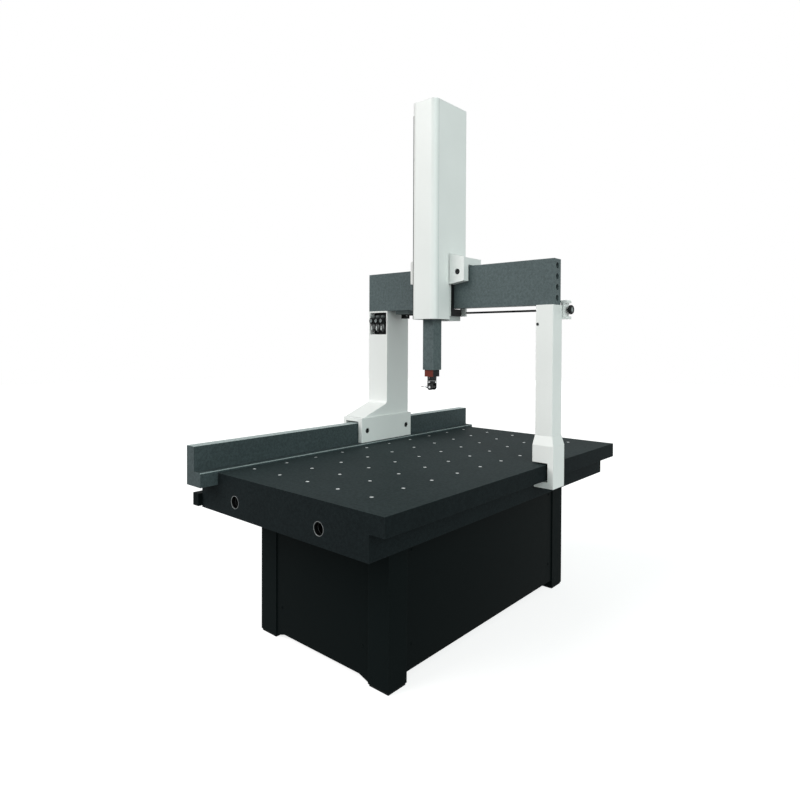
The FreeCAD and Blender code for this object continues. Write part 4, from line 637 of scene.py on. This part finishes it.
class CMM_OT_inserts(bpy.types.Operator):
    """Make the threaded inserts of the work surface and the lifting sleeves"""
    bl_idname = "cmm.inserts"
    bl_label = "Inserts and sleeves"

    def execute(self, context):
        p = context.scene.cmm_table
        rings = Skin()
        outer, bore, crest, depth = 9, 4, 3.4, 25
        thread = [(bore if step % 2 else crest, -1 - p.thread / 2 * step) for step in range(10)]
        profile = [(outer, -depth), (outer, -p.rim), (outer - p.rim, 0), (bore + p.rim, 0), *thread,
                   (crest, -depth)]
        for x in np.arange(5) * INSERT_SPACING:
            for y in np.arange(10) * INSERT_SPACING:
                rings.turned((x, y, 0), Z_AXIS, profile, columns=24, closed=True)
        piece("threaded_inserts", rings, "base", "insert_steel", "table_inserts")
        sleeves = Skin()
        outer, bore, length = 32, 28, 70
        lip = bore + 2
        profile = [(outer, -length), (outer, -p.lip / 2), (outer - p.lip / 2, -0.1), (lip, -0.1),
                   (lip, -3), (bore, -3), (bore, -20), (bore + 0.8, -21), (bore + 0.8, -23),
                   (bore, -24), (bore, -length)]
        ring = [(lip, -3), (lip, -0.3), (lip - 0.3, 0), (bore + 0.4, 0), (bore, -0.4), (bore, -3)]
        for x in (85.5, 669.5):
            for y, axis in ((-172, facing(Y_AXIS)), (1948, Y_AXIS)):
                sleeves.turned((x, y, -118), axis, profile, columns=64, closed=True)
                sleeves.turned((x, y, -118), axis, ring, columns=64, mark=1, closed=True)
        piece("lifting_sleeves", sleeves, "base", "black_steel grey_steel",
            "table_inserts")
        return {"FINISHED"}


# Screws

class ScrewSettings(bpy.types.PropertyGroup):
    socket: number("Socket", "Socket corner radius as a share of the head's radius",
                   0.52, min=0.2, max=0.8)


class CMM_OT_screws(bpy.types.Operator):
    """Make the socket head screws of the stand, the rail, the bridge and the carriage"""
    bl_idname = "cmm.screws"
    bl_label = "Screws"

    def execute(self, context):
        share = context.scene.cmm_screws.socket
        # Radius and height of the head, radius of the shank and how far it reaches in
        panel_size = (6, 2.4, 3, 6, share, 24)
        panel = Skin()
        for z in (-280, -700):
            for x in (90, 652):
                panel.bolt((x, 99.6, z), facing(Y_AXIS), *panel_size)
                panel.bolt((x, 1686.4, z), Y_AXIS, *panel_size)
            for y in (254, 1532):
                panel.bolt((-64.4, y, z), facing(X_AXIS), *panel_size)
                panel.bolt((806.4, y, z), X_AXIS, *panel_size)
        piece("panel_screws", panel, "base", "black_paint", "base_screws")
        rail = Skin()
        for step in range(5):
            rail.bolt((-90, 29 + 420 * step, -7), Z_AXIS, 12, 14, 8, 93, share)
        piece("rail_bolts", rail, "base", "black_steel", "base_screws")
        bridge = Skin()
        for y in PAD_Y:
            bridge.bolt((-90, y, 82), X_AXIS, 15, 6, 5, 14, share)
            bridge.bolt((-243, y, 82), facing(X_AXIS), 15, 6, 5, 47, share)
        for x, y in ((-208, 1141), (-144, 1141), (984.5, 1122), (1020.5, 1122)):
            bridge.bolt((x, y, 1049), Z_AXIS, 12, 14, 8, 262, share)
        bridge.bolt((996.5, 1120, -121), facing(Z_AXIS), 15, 8, 5, 24, share)
        for y in (1051, 1099):
            bridge.bolt((-253, y, 28), facing(X_AXIS), 5, 3, 3, 8, share, 24)
        bridge.bolt((970.5, 1071, 727), facing(Y_AXIS), 7.5, 3, 4, 10, share, 24)
        piece("bridge_bolts", bridge, "bridge", "black_steel", "bridge_screws")
        wing = Skin()
        for x in WING_X:
            wing.bolt((x, 1041, 1032), facing(Y_AXIS), 15, 6, 5, 29, share)
        piece("wing_screws", wing, "carriage", "black_steel", "wing_pad_screws")
        return {"FINISHED"}


# Drives

class DriveSettings(bpy.types.PropertyGroup):
    pitch: number("Belt pitch", "Distance between belt teeth, in millimetres", 5, min=2)
    tooth: number("Tooth height", "Height of a belt tooth, in millimetres", 0.8)
    flange: number("Flange", "How far a pulley's flanges stand past its teeth", 2.7)


class CMM_OT_drives(bpy.types.Operator):
    """Make the toothed belts, the flanged pulleys and the drive motors"""
    bl_idname = "cmm.drives"
    bl_label = "Belts, pulleys and motors"

    def execute(self, context):
        p = context.scene.cmm_drives
        belts = (
            ("y_toothed_belt", "base", "y_drive_belt", 0, 1, (-160, 1971), Y_DRIVE_Z, Y_DRIVE_X,
            20.3),
            ("x_toothed_belt", "bridge", "x_drive_belt", 2, 0, (-46, 1042), X_DRIVE_Y, X_DRIVE_Z,
            13.3),
            ("z_toothed_belt", "carriage", "z_drive_belt", 0, 2, (1180, 1952), Z_DRIVE_Y, RAM_X,
            30.3),
        )
        for name, body, node, axis, run, ends, level, middle, inner in belts:
            skin = Skin()
            skin.belt(axis, run, ends, level, middle, inner, 5, p.pitch, 2, p.tooth)
            piece(name, skin, body, "belt_rubber", node)
        pulleys = (
            ("y_idler_pulley", (Y_DRIVE_X, -160, Y_DRIVE_Z), X_AXIS, 20, -21, 26),
            ("y_drive_pulley", (Y_DRIVE_X, 1971, Y_DRIVE_Z), X_AXIS, 20, -21, 56),
            ("x_drive_pulley", (-46, X_DRIVE_Y, X_DRIVE_Z), Z_AXIS, 13, -24, 53),
            ("x_idler_pulley", (1042, X_DRIVE_Y, X_DRIVE_Z), Z_AXIS, 13, -49, 49),
            ("z_lower_pulley", (RAM_X, Z_DRIVE_Y, 1180), X_AXIS, 30, -64, 64),
            ("z_upper_pulley", (RAM_X, Z_DRIVE_Y, 1952), X_AXIS, 30, -64, 64),
        )
        for node, centre, axis, radius, low, high in pulleys:
            skin = Skin()
            self.pulley(skin, centre, axis, radius, low, high, p)
            piece(node + "_toothed", skin, node, "aluminium", node)
        motors = (
            ("y_motor_body", "base", "y_drive_motor", (-195, 1971, Y_DRIVE_Z), X_AXIS, 22, 110,
            30.05),
            ("x_motor_body", "bridge", "x_drive_motor", (-46, X_DRIVE_Y, 827), Z_AXIS, 16, 66,
            30.05),
            ("z_motor_body", "carriage", "z_drive_motor", (361.5, Z_DRIVE_Y, 1952), X_AXIS, 17.6,
            40, 0),
        )
        for name, body, node, centre, axis, radius, length, bore in motors:
            skin = Skin()
            self.motor(skin, centre, axis, radius, length, bore)
            piece(name, skin, body, "black_plastic", node)
        return {"FINISHED"}

    def pulley(self, skin, centre, axis, radius, low, high, p):
        """Shaft, flange, toothed rim, flange and shaft again in one profile."""
        shaft, half, web = 5, 8, 1.4
        rim = radius + p.flange
        count = int(round(2 * math.pi * radius / p.pitch))
        skin.turned(centre, axis, [
            (0, low), (shaft - 0.5, low), (shaft, low + 0.5), (shaft, -half), (rim - 0.6, -half),
            (rim, -half + 0.5), (radius, -half + web), (radius, -half + web, 1),
            (radius, half - web, 1), (radius, half - web), (rim, half - 0.5), (rim - 0.6, half),
            (shaft, half), (shaft, high - 0.5), (shaft - 0.5, high), (0, high)],
            count * 4, teeth(count, 0.9 / radius))

    def motor(self, skin, centre, axis, radius, length, bore):
        """End caps, ribbed middle and narrower rear cap; the bore is blind, or open at nought."""
        shaft = 5.05
        ribs = []
        for level in np.linspace(length * 0.22, length * 0.72, 9):
            ribs += [(radius - 0.3, level), (radius - 1, level + 0.6), (radius - 1, level + 1.2),
                     (radius - 0.3, level + 1.8)]
        front = [(shaft, 0), (radius - 0.8, 0), (radius, 0.8), (radius, length * 0.18),
                 (radius - 1.2, length * 0.19)]
        rear = [(radius, length * 0.80), (radius, length * 0.90), (radius - 1.5, length * 0.91)]
        if bore:
            rear += [(radius * 0.75, length * 0.93), (radius * 0.75, length - 0.8),
                     (radius * 0.7, length), (0, length)]
            skin.turned(centre, axis, [(0, bore), (shaft, bore)] + front + ribs + rear, 48)
        else:
            rear += [(radius * 0.8, length - 0.8), (radius * 0.75, length), (shaft, length)]
            skin.turned(centre, axis, front + ribs + rear, 48, closed=True)


class CMM_OT_bearings(bpy.types.Operator):
    """Make the air bearing pads of the bridge, the carriage and the ram's guides"""
    bl_idname = "cmm.bearings"
    bl_label = "Air bearings"

    def execute(self, context):
        bridge = Skin()
        for y in PAD_Y:
            self.pad(bridge, (-150, y, 130.3), Z_AXIS, 26, 17.7)
            self.pad(bridge, (-117.7, y, 82), X_AXIS, 26, 13.7)
            self.pad(bridge, (-182.3, y, 82), facing(X_AXIS), 26, 13.7)
        self.pad(bridge, (991.5, 1120, 0.3), Z_AXIS, 31, 16.7)
        self.pad(bridge, (996.5, 1120, -80.3), facing(Z_AXIS), 26, 16.7)
        piece("bridge_bearings", bridge, "bridge", "aluminium", "bridge_air_pads")
        carriage = Skin()
        for x in WING_X:
            self.pad(carriage, (x, 1083.7, 1032), facing(Y_AXIS), 26, 13.7)
            self.pad(carriage, (x, 1122, 1066.3), Z_AXIS, 26, 13.7)
        for z in (889, 1027):
            self.pad(carriage, (345.5, 1160.3, z), Y_AXIS, 26, 13.7)
        for z in (865, 1085.5):
            for axis in (X_AXIS, facing(X_AXIS), Y_AXIS, facing(Y_AXIS)):
                start = np.array([RAM_X, RAM_Y, z]) + 38.8 * np.array(axis)
                self.pad(carriage, start, axis, 16, 9.7)
        piece("carriage_bearings", carriage, "carriage", "aluminium",
            "carriage_air_pads")
        return {"FINISHED"}

    def pad(self, skin, face, axis, radius, thick):
        """Flat pad: feed groove in its face, bevelled rim, relieved side and a dished back."""
        skin.turned(face, axis, [
            (0, 0.4), (1, 0), (radius * 0.55, 0), (radius * 0.57, 0.3), (radius * 0.60, 0.3),
            (radius * 0.62, 0), (radius - 0.8, 0), (radius, 0.8), (radius, thick * 0.45),
            (radius - 1.2, thick * 0.5), (radius - 1.2, thick * 0.6), (radius, thick * 0.65),
            (radius, thick - 0.8), (radius - 0.8, thick), (radius * 0.3, thick), (0, thick - 0.6)],
            48)


# Air unit

class AirSettings(bpy.types.PropertyGroup):
    grips: number("Grips", "Grips round a regulator's knob", 20, IntProperty, min=6)
    ribs: number("Ribs", "Ribs round a regulator's bowl", 10, IntProperty, min=4)


class CMM_OT_air_unit(bpy.types.Operator):
    """Make the three air regulators with their gauges, bowls and knobs"""
    bl_idname = "cmm.air_unit"
    bl_label = "Air unit"

    def execute(self, context):
        p = context.scene.cmm_air
        bodies, bowls, gauges = Skin(), Skin(), Skin()
        # A black plate over the whole back of the recess: painted shade, a dark sheet where the
        # recess lies in shade.
        bodies.block((-245.7, -105.3), (1124, 1127), (677.3, 816.7), axis=1, radius=2, bevel=0.5)
        for number, x in enumerate(REGULATOR_X, start=1):
            bodies.block((x - 19, x + 19), (1066, 1124), (747, 783), radius=5, bevel=1.5)
            bodies.turned((x, REGULATOR_Y, 0), Z_AXIS, [
                (0, 782), (13, 782), (13, 784.6), (12, 785), (0, 785)])
            bodies.turned((x, REGULATOR_Y, 0), Z_AXIS, [
                (0, 741), (17, 741), (17, 747.5), (0, 747.5)], 48, waves(12, 0.05))
            self.gauge(gauges, (x, 1066, 765))
            bowls.turned((x, REGULATOR_Y, 0), Z_AXIS, [
                (0, 692.5), (3.6, 692.5), (4.6, 693.5), (4.6, 698), (3.4, 699), (3.4, 700.5),
                (9, 701.5), (13, 704, 1), (15.5, 709, 1), (16.4, 716, 1),
                (16.6, 736, 1), (15, 741.5), (0, 741.5)], 60, waves(p.ribs, 0.10))
            # Sight window on each bowl: a real window whose pale tone is a painted highlight.
            bowls.block((x - 3.2, x + 3.2), (1064.8, 1069), (704, 729), radius=2, bevel=0.6, mark=1)
            knob = Skin()
            knob.turned((x, REGULATOR_Y, 0), Z_AXIS, [
                (0, 785.3), (13.2, 785.3), (14, 786, 1), (14, 796, 1), (13.2, 797.6, 1),
                (11.5, 798.9), (9, 799.3), (8.6, 798.5), (0, 798.5)], p.grips * 6, waves(p.grips,
                0.07))
            node = f"regulator_knob_{number}"
            piece(f"{node}_grip", knob, node, "knob_plastic", node)
        piece("regulator_bodies", bodies, "bridge", "black_plastic", "air_regulators")
        piece("regulator_bowls", bowls, "bridge", "smoked_bowl sight_glass",
            "air_regulators")
        piece("regulator_gauges", gauges, "bridge", "gloss_plastic dial_face",
            "air_regulators")
        return {"FINISHED"}

    def gauge(self, skin, centre):
        """Dial in a ring: eleven marks over three quarters of a turn and a pointer at rest."""
        forward = facing(Y_AXIS)
        skin.turned(centre, forward, [
            (0, 0), (14, 0), (14, 7.3), (13.3, 8.5), (12.2, 8.5), (11.6, 6.2), (0, 6.2)], 48)
        skin.turned(centre, forward, [(0, 6.2), (11.5, 6.2), (11.5, 6.6), (0, 6.6)], 48, mark=1)
        cx, cy, cz = centre
        for turn in np.radians(np.linspace(-135, 135, 11)):
            self.hand(skin, (cx, cy - 6.9, cz), turn, 8.4, 10.6, 0.45)
        self.hand(skin, (cx, cy - 7.3, cz), math.radians(-35), -2.5, 8.6, 0.55)
        skin.turned((cx, cy - 6.9, cz), forward, [(0, 0), (1.5, 0), (1.2, 1), (0, 1)], 16)

    def hand(self, skin, centre, turn, near, far, half):
        """Thin bar in the dial's plane, at an angle from upright."""
        out = np.array([math.sin(turn), 0, math.cos(turn)])
        side = np.array([out[2], 0, -out[0]])
        depth = np.array([0, 0.25, 0])
        ends = np.array([near, near, far, far])[:, None] * out
        wide = np.array([[-half, -half, half, half], [-half, -half, half, half]])
        ring = np.array(centre) + ends[[0, 3]][:, None] + wide[:, :, None] * side
        ring = ring + np.array([-1, 1, 1, -1])[None, :, None] * depth
        middle = ring.mean(axis=1, keepdims=True).repeat(4, axis=1)
        skin.grid(np.concatenate([middle[:1], ring, middle[1:]]))


class CMM_OT_tension_knob(bpy.types.Operator):
    """Make the lobed knob that tightens the beam's belt"""
    bl_idname = "cmm.tension_knob"
    bl_label = "Tension knob"

    def execute(self, context):
        skin = Skin()
        centre = (1083, X_DRIVE_Y, X_DRIVE_Z)
        skin.turned(centre, X_AXIS, [
            (0, -24.5), (4.5, -24.5), (4.95, -24), (4.95, 0), (14, 0), (22, 0.6),
            (24.5, 2.5, 1), (24.5, 14.5, 1), (23, 17, 1), (20.5, 18), (13.5, 18),
            (12.5, 15.5), (0, 15.5)], 96, waves(8, 0.13))
        piece("tension_knob_grip", skin, "tension_knob", "black_plastic",
            "tension_knob")
        cap = Skin()
        cap.turned((1098.5, X_DRIVE_Y, X_DRIVE_Z), X_AXIS, [
            (0, 0), (12.2, 0), (12.2, 1.2), (11.6, 1.6), (0, 2)], 48)
        piece("tension_knob_cap", cap, "tension_knob", "dial_face")
        return {"FINISHED"}


class CMM_OT_cover_joints(bpy.types.Operator):
    """Make the sealing lines where the sheets of the upright cover meet, and a thin dark band on
    the cover's left rounding
    """
    bl_idname = "cmm.cover_joints"
    bl_label = "Cover joints"

    def execute(self, context):
        skin = Skin()
        for x in (247, 423):
            skin.block((x - 0.4, x + 0.4), (936, 937.8), (763, 1998), radius=0.35, bevel=0.3)
        # A thin dark band on the left rounding, from 219 to 243 degrees, in the second finish.
        turn = np.radians(np.linspace(219, 243, 10))
        arc = np.stack([np.cos(turn), np.sin(turn)], axis=1)
        band = np.concatenate([38.5 * arc, 37.5 * arc[::-1]]) + (285, 939)
        skin.outline(band, 2, 763, 1930, bevel=0.3, mark=1)
        piece("cover_joints", skin, "carriage", "joint_line rubber")
        return {"FINISHED"}


# Probe head

class ProbeSettings(bpy.types.PropertyGroup):
    grips: number("Collar grips", "Grips round the head's locking collar", 30, IntProperty, min=8)
    ball: number("Ball radius", "Radius of the stylus ball, in millimetres", 2.5)


class CMM_OT_probe_head(bpy.types.Operator):
    """Make the turning and tilting probe head, the touch probe and its stylus"""
    bl_idname = "cmm.probe_head"
    bl_label = "Probe head"

    def execute(self, context):
        p = context.scene.cmm_probe
        self.base(p)
        self.swivel()
        self.knuckle()
        self.probe(p)
        return {"FINISHED"}

    def base(self, p):
        """Fixed upper part: flange, gripped locking collar, and a signal lamp in front."""
        skin = Skin()
        skin.turned((RAM_X, RAM_Y, 417), Z_AXIS, [
            (0, 0), (24.5, 0), (25.5, 0.8), (25.5, 2), (27, 2.8, 1), (27, 8.6, 1),
            (25.2, 9.4), (25.2, 10.4), (26.6, 10.8), (26.6, 13.6), (26.2, 14), (0, 14)],
            p.grips * 6, waves(p.grips, 0.035))
        skin.turned((RAM_X, 958.6, 423), facing(Y_AXIS), [
            (0, 0), (2.6, 0), (2.6, 1.6), (2.2, 2), (0, 2.2)], 24, mark=1)
        piece("head_base_collar", skin, "ram", "gloss_plastic aluminium",
            "probe_head_base")

    def swivel(self):
        """Turning drum with a bright index ring, and two cheeks that hold the tilt pin."""
        skin = Skin()
        skin.turned((RAM_X, RAM_Y, 391), Z_AXIS, [
            (0, 0), (24, 0), (26.2, 1.6), (27, 3.6), (27, 15), (26.2, 16), (26.2, 17),
            (27, 18), (27, 24.6), (26, 25.6), (0, 25.6)], 72)
        skin.turned((RAM_X, RAM_Y, 391), Z_AXIS, [
            (26.2, 16.1), (26.9, 16.1), (26.9, 16.9), (26.2, 16.9)], 72, mark=1, closed=True)
        turn = np.linspace(0, math.pi, 25)
        arc = np.stack([370 - 17 * np.sin(turn), 345.5 + 17 * np.cos(turn)], axis=1)
        plan = np.concatenate([arc, [(393, 328.5), (393, 362.5)]])
        for near, far, sign in ((960, 968, -1), (998, 1006, 1)):
            skin.outline(plan, 1, near, far, bevel=1)
            face = near if sign < 0 else far
            skin.turned((RAM_X, face, TILT_Z), facing(Y_AXIS, sign), [
                (0, -0.2), (7, -0.2), (7, 1), (6.2, 1.8), (4.4, 1.8), (3.8, 0.9), (0, 0.9)],
                36, mark=1)
        for side in (facing(Y_AXIS), X_AXIS):
            start = np.array([RAM_X, RAM_Y, 399]) + 25.8 * np.array(side)
            skin.turned(start, side, [
                (0, 0), (5, 0), (5, 1.6), (4.2, 2.2), (2.4, 2.2), (2, 1.4), (0, 1.4)],
                36, mark=1)
        piece("head_swivel_drum", skin, "head_swivel", "gloss_plastic aluminium",
            "probe_head_swivel")

    def knuckle(self):
        """Drum on the tilt axis, crowned between the cheeks, with bright rims."""
        skin = Skin()
        crown = [(15.9 - 1.6 * (h / 12) ** 2, h) for h in np.linspace(-12, 12, 13)]
        skin.turned(TILT, Y_AXIS, [
            (0, -22.6), (4.9, -22.6), (4.9, -14.4), (12.6, -14.4), (14.3, -13), *crown,
            (14.3, 13), (12.6, 14.4), (4.9, 14.4), (4.9, 22.6), (0, 22.6)], 72)
        for h in (-13.6, 13.6):
            skin.turned((RAM_X, RAM_Y + h, TILT_Z), Y_AXIS, [
                (11, -0.9), (13, -0.9), (13.4, 0), (13, 0.9), (11, 0.9)], 72, mark=1, closed=True)
        piece("knuckle_drum", skin, "head_knuckle", "gloss_plastic aluminium",
            "probe_knuckle")

    def probe(self, p):
        """Touch probe: collar, gripped ring and tapering nose, then the stem with its ball."""
        skin = Skin()
        skin.turned(TILT, facing(X_AXIS), [
            (0, 13.4), (8.5, 13.4), (10.5, 15.4), (10.5, 21), (9.6, 21.6), (9.6, 23),
            (9, 23.6), (9, 26), (8.9, 26.2, 1), (8.9, 34, 1), (8.4, 34.4), (8.4, 39),
            (7.4, 41.5), (5, 44), (3.2, 45), (0, 45)], 96, waves(24, 0.06))
        piece("touch_probe_body", skin, "head_knuckle", "aluminium", "touch_probe")
        stem = Skin()
        stem.turned((293.6, RAM_Y, TILT_Z), facing(X_AXIS), [
            (0, 0), (1, 0), (1.2, 0.3), (1.2, 2.5), (0.8, 3.5), (0.8, 26), (0, 26)], 24)
        stem.turned((284, RAM_Y, TILT_Z), facing(X_AXIS), [
            (0.75, 0), (1.7, 0.6), (2.1, 1.6), (2.1, 11), (1.5, 13.6), (0.75, 14)], 24,
            mark=1, closed=True)
        piece("stylus_stem", stem, "stylus", "steel gloss_plastic", "stylus")
        ball = Skin()
        angle = np.linspace(-90, 90, 17)
        sphere = np.stack([p.ball * np.cos(np.radians(angle)), p.ball * np.sin(np.radians(angle))],
            axis=1)
        sphere[[0, -1], 0] = 0
        ball.turned((267.6, RAM_Y, TILT_Z), X_AXIS, sphere.tolist(), 32)
        piece("stylus_ball", ball, "stylus", "ruby", "stylus")


# Stage

# Pixels across the photographed picture, and the camera's sensor in millimetres
PICTURE, SENSOR = 800.0, 36.0
FLOOR_RADIUS, FLOOR_SIDES = 20.0, 96


class StageSettings(bpy.types.PropertyGroup):
    focal: number("Focal length", "In pixels of an 800 pixel wide image", 603.10)
    centre: vector("Picture centre", "Where the view axis meets the image", (394.48, 348.74))
    azimuth: number("Azimuth", "Degrees from looking along +Y towards -X", 41.407)
    elevation: number("Elevation", "Degrees above the horizon", -0.841)
    roll: number("Roll", "Degrees about the view axis", 0.225)
    eye: vector("Eye", "Camera position", (2.0687, -2.6487, 1.5020), subtype="XYZ", unit="LENGTH")
    sky: number("Ambient light", "Strength of the even studio light", 0.30)
    sky_tint: tint("Ambient tint", "Colour of the even light", (0.92, 1.0, 0.985))
    key: number("Key light", "Strength of the soft light from the front left", 1.95)
    key_tint: tint("Key tint", "Colour of the key light", (1.0, 0.965, 0.955))
    fill: number("Fill light", "Strength of the soft light from the right", 1.50)
    fill_tint: tint("Fill tint", "Colour of the fill light", (0.88, 1.0, 0.97))
    floor_tone: number("Floor tone", "How much light the floor gives back", 0.50)
    floor_lift: number("Floor lift", "White that the floor adds to what is seen", 0.78)


def seen_directly(tree):
    """One for camera, mirror and glass rays, nought for scattered light."""
    path = tree.nodes.new("ShaderNodeLightPath")
    ray = path.outputs["Is Camera Ray"]
    for kind in ("Is Glossy Ray", "Is Transmission Ray"):
        either = tree.nodes.new("ShaderNodeMath")
        either.operation = "MAXIMUM"
        tree.links.new(ray, either.inputs[0])
        tree.links.new(path.outputs[kind], either.inputs[1])
        ray = either.outputs[0]
    return either


class CMM_OT_stage(bpy.types.Operator):
    """Make the floor, the soft studio light and the camera at the photographed view"""
    bl_idname = "cmm.stage"
    bl_label = "Stage"

    def execute(self, context):
        p = context.scene.cmm_stage
        self.camera(context, p)
        self.floor(p)
        self.world(context, p)
        self.sun(context, "key_light", p.key, p.key_tint, (0.42, 0.80, -0.62), 40.0)
        self.sun(context, "fill_light", p.fill, p.fill_tint, (-0.86, 0.36, -0.36), 55.0)
        context.scene.view_settings.view_transform = "Standard"
        return {"FINISHED"}

    def camera(self, context, p):
        """Pinhole camera: right and up axes turned by the roll about the view axis."""
        data = bpy.data.cameras.new("photo_camera")
        data.sensor_width = SENSOR
        data.lens = p.focal / PICTURE * SENSOR
        data.shift_x = (PICTURE / 2 - p.centre[0]) / PICTURE
        data.shift_y = (p.centre[1] - PICTURE / 2) / PICTURE
        data.clip_start = 0.05
        data.clip_end = 200.0
        a, e, r = (math.radians(v) for v in (p.azimuth, p.elevation, p.roll))
        forward = Vector((-math.sin(a) * math.cos(e), math.cos(a) * math.cos(e), math.sin(e)))
        right = forward.cross(Vector((0, 0, 1))).normalized()
        up = right.cross(forward)
        x = right * math.cos(r) + up * math.sin(r)
        y = up * math.cos(r) - right * math.sin(r)
        camera = bpy.data.objects.new("photo_camera", data)
        turn = Matrix((x, y, -forward)).transposed().to_4x4()
        camera.matrix_world = Matrix.Translation(Vector(p.eye)) @ turn
        context.scene.collection.objects.link(camera)
        context.scene.camera = camera

    def floor(self, p):
        """Flat round floor, 40 m across, that reaches white wherever no shadow lies on it."""
        mesh = bpy.data.meshes.new("studio_floor")
        turn = np.linspace(0.0, 2.0 * math.pi, FLOOR_SIDES, endpoint=False)
        rim = np.stack([FLOOR_RADIUS * np.cos(turn), FLOOR_RADIUS * np.sin(turn),
                        np.zeros(FLOOR_SIDES)], axis=1)
        mesh.from_pydata(rim.tolist(), [], [list(range(FLOOR_SIDES))])
        s = Shader("studio_floor")
        speck = s.noise(2.0)
        s.roughness(speck, 0.85, 0.95)
        s.set(Base_Color=(p.floor_tone, p.floor_tone, p.floor_tone, 1.0), Specular_IOR_Level=0.0,
              Emission_Color=(1.0, 1.0, 1.0, 1.0))
        seen = s.node("ShaderNodeMath", operation="MULTIPLY")
        seen.inputs[1].default_value = p.floor_lift
        s.link(seen_directly(s.tree), 0, seen, 0)
        s.link(seen, 0, s.surface, "Emission Strength")
        mesh.materials.append(s.material)
        floor = bpy.data.objects.new("studio_floor", mesh)
        bpy.context.scene.collection.objects.link(floor)

    def world(self, context, p):
        """Even light for the object, plain white where the camera or a reflection looks past it."""
        world = bpy.data.worlds.new("studio")
        context.scene.world = world
        world.use_nodes = True
        tree = world.node_tree
        tree.nodes.clear()
        output = tree.nodes.new("ShaderNodeOutputWorld")
        mix = tree.nodes.new("ShaderNodeMixShader")
        tree.links.new(seen_directly(tree).outputs[0], mix.inputs[0])
        lights = ((p.sky_tint, p.sky), ((1.0, 1.0, 1.0), 1.0))
        for socket, (colour, strength) in enumerate(lights, start=1):
            light = tree.nodes.new("ShaderNodeBackground")
            light.inputs["Color"].default_value = (*colour, 1.0)
            light.inputs["Strength"].default_value = strength
            tree.links.new(light.outputs[0], mix.inputs[socket])
        tree.links.new(mix.outputs[0], output.inputs[0])

    def sun(self, context, name, strength, tint, direction, softness):
        data = bpy.data.lights.new(name, "SUN")
        data.energy = strength
        data.color = tint
        data.angle = math.radians(softness)
        light = bpy.data.objects.new(name, data)
        light.rotation_mode = "QUATERNION"
        light.rotation_quaternion = Vector(direction).to_track_quat("-Z", "Y")
        context.scene.collection.objects.link(light)


class CMM_PT_panel(bpy.types.Panel):
    """Settings and buttons of the measuring machine"""
    bl_idname = "CMM_PT_panel"
    bl_label = "Measuring machine"
    bl_space_type = "VIEW_3D"
    bl_region_type = "UI"
    bl_category = "Measuring machine"

    def draw(self, context):
        for group in SETTINGS:
            settings = getattr(context.scene, group)
            box = self.layout.box()
            for name in settings.bl_rna.properties.keys():
                if name not in ("rna_type", "name"):
                    box.prop(settings, name)
        for operator in STEPS:
            self.layout.operator(operator)


SETTINGS = {
    "cmm_paint": PaintSettings, "cmm_screws": ScrewSettings, "cmm_table": TableSettings,
    "cmm_drives": DriveSettings, "cmm_air": AirSettings, "cmm_probe": ProbeSettings,
    "cmm_stage": StageSettings,
}
STEPS = ("cmm.stage", "cmm.finishes", "cmm.inserts", "cmm.screws", "cmm.drives", "cmm.bearings",
         "cmm.air_unit", "cmm.tension_knob", "cmm.cover_joints", "cmm.probe_head")
CLASSES = (*SETTINGS.values(), CMM_OT_stage, CMM_OT_finishes, CMM_OT_inserts, CMM_OT_screws,
           CMM_OT_drives, CMM_OT_bearings, CMM_OT_air_unit, CMM_OT_tension_knob,
           CMM_OT_cover_joints, CMM_OT_probe_head, CMM_PT_panel)


def register():
    for cls in CLASSES:
        bpy.utils.register_class(cls)
    for name, group in SETTINGS.items():
        setattr(bpy.types.Scene, name, PointerProperty(type=group))


def unregister():
    for name in SETTINGS:
        delattr(bpy.types.Scene, name)
    for cls in reversed(CLASSES):
        bpy.utils.unregister_class(cls)


def main():
    register()
    for step in STEPS:
        area, name = step.split(".")
        getattr(getattr(bpy.ops, area), name)()


if __name__ == "__main__":
    main()
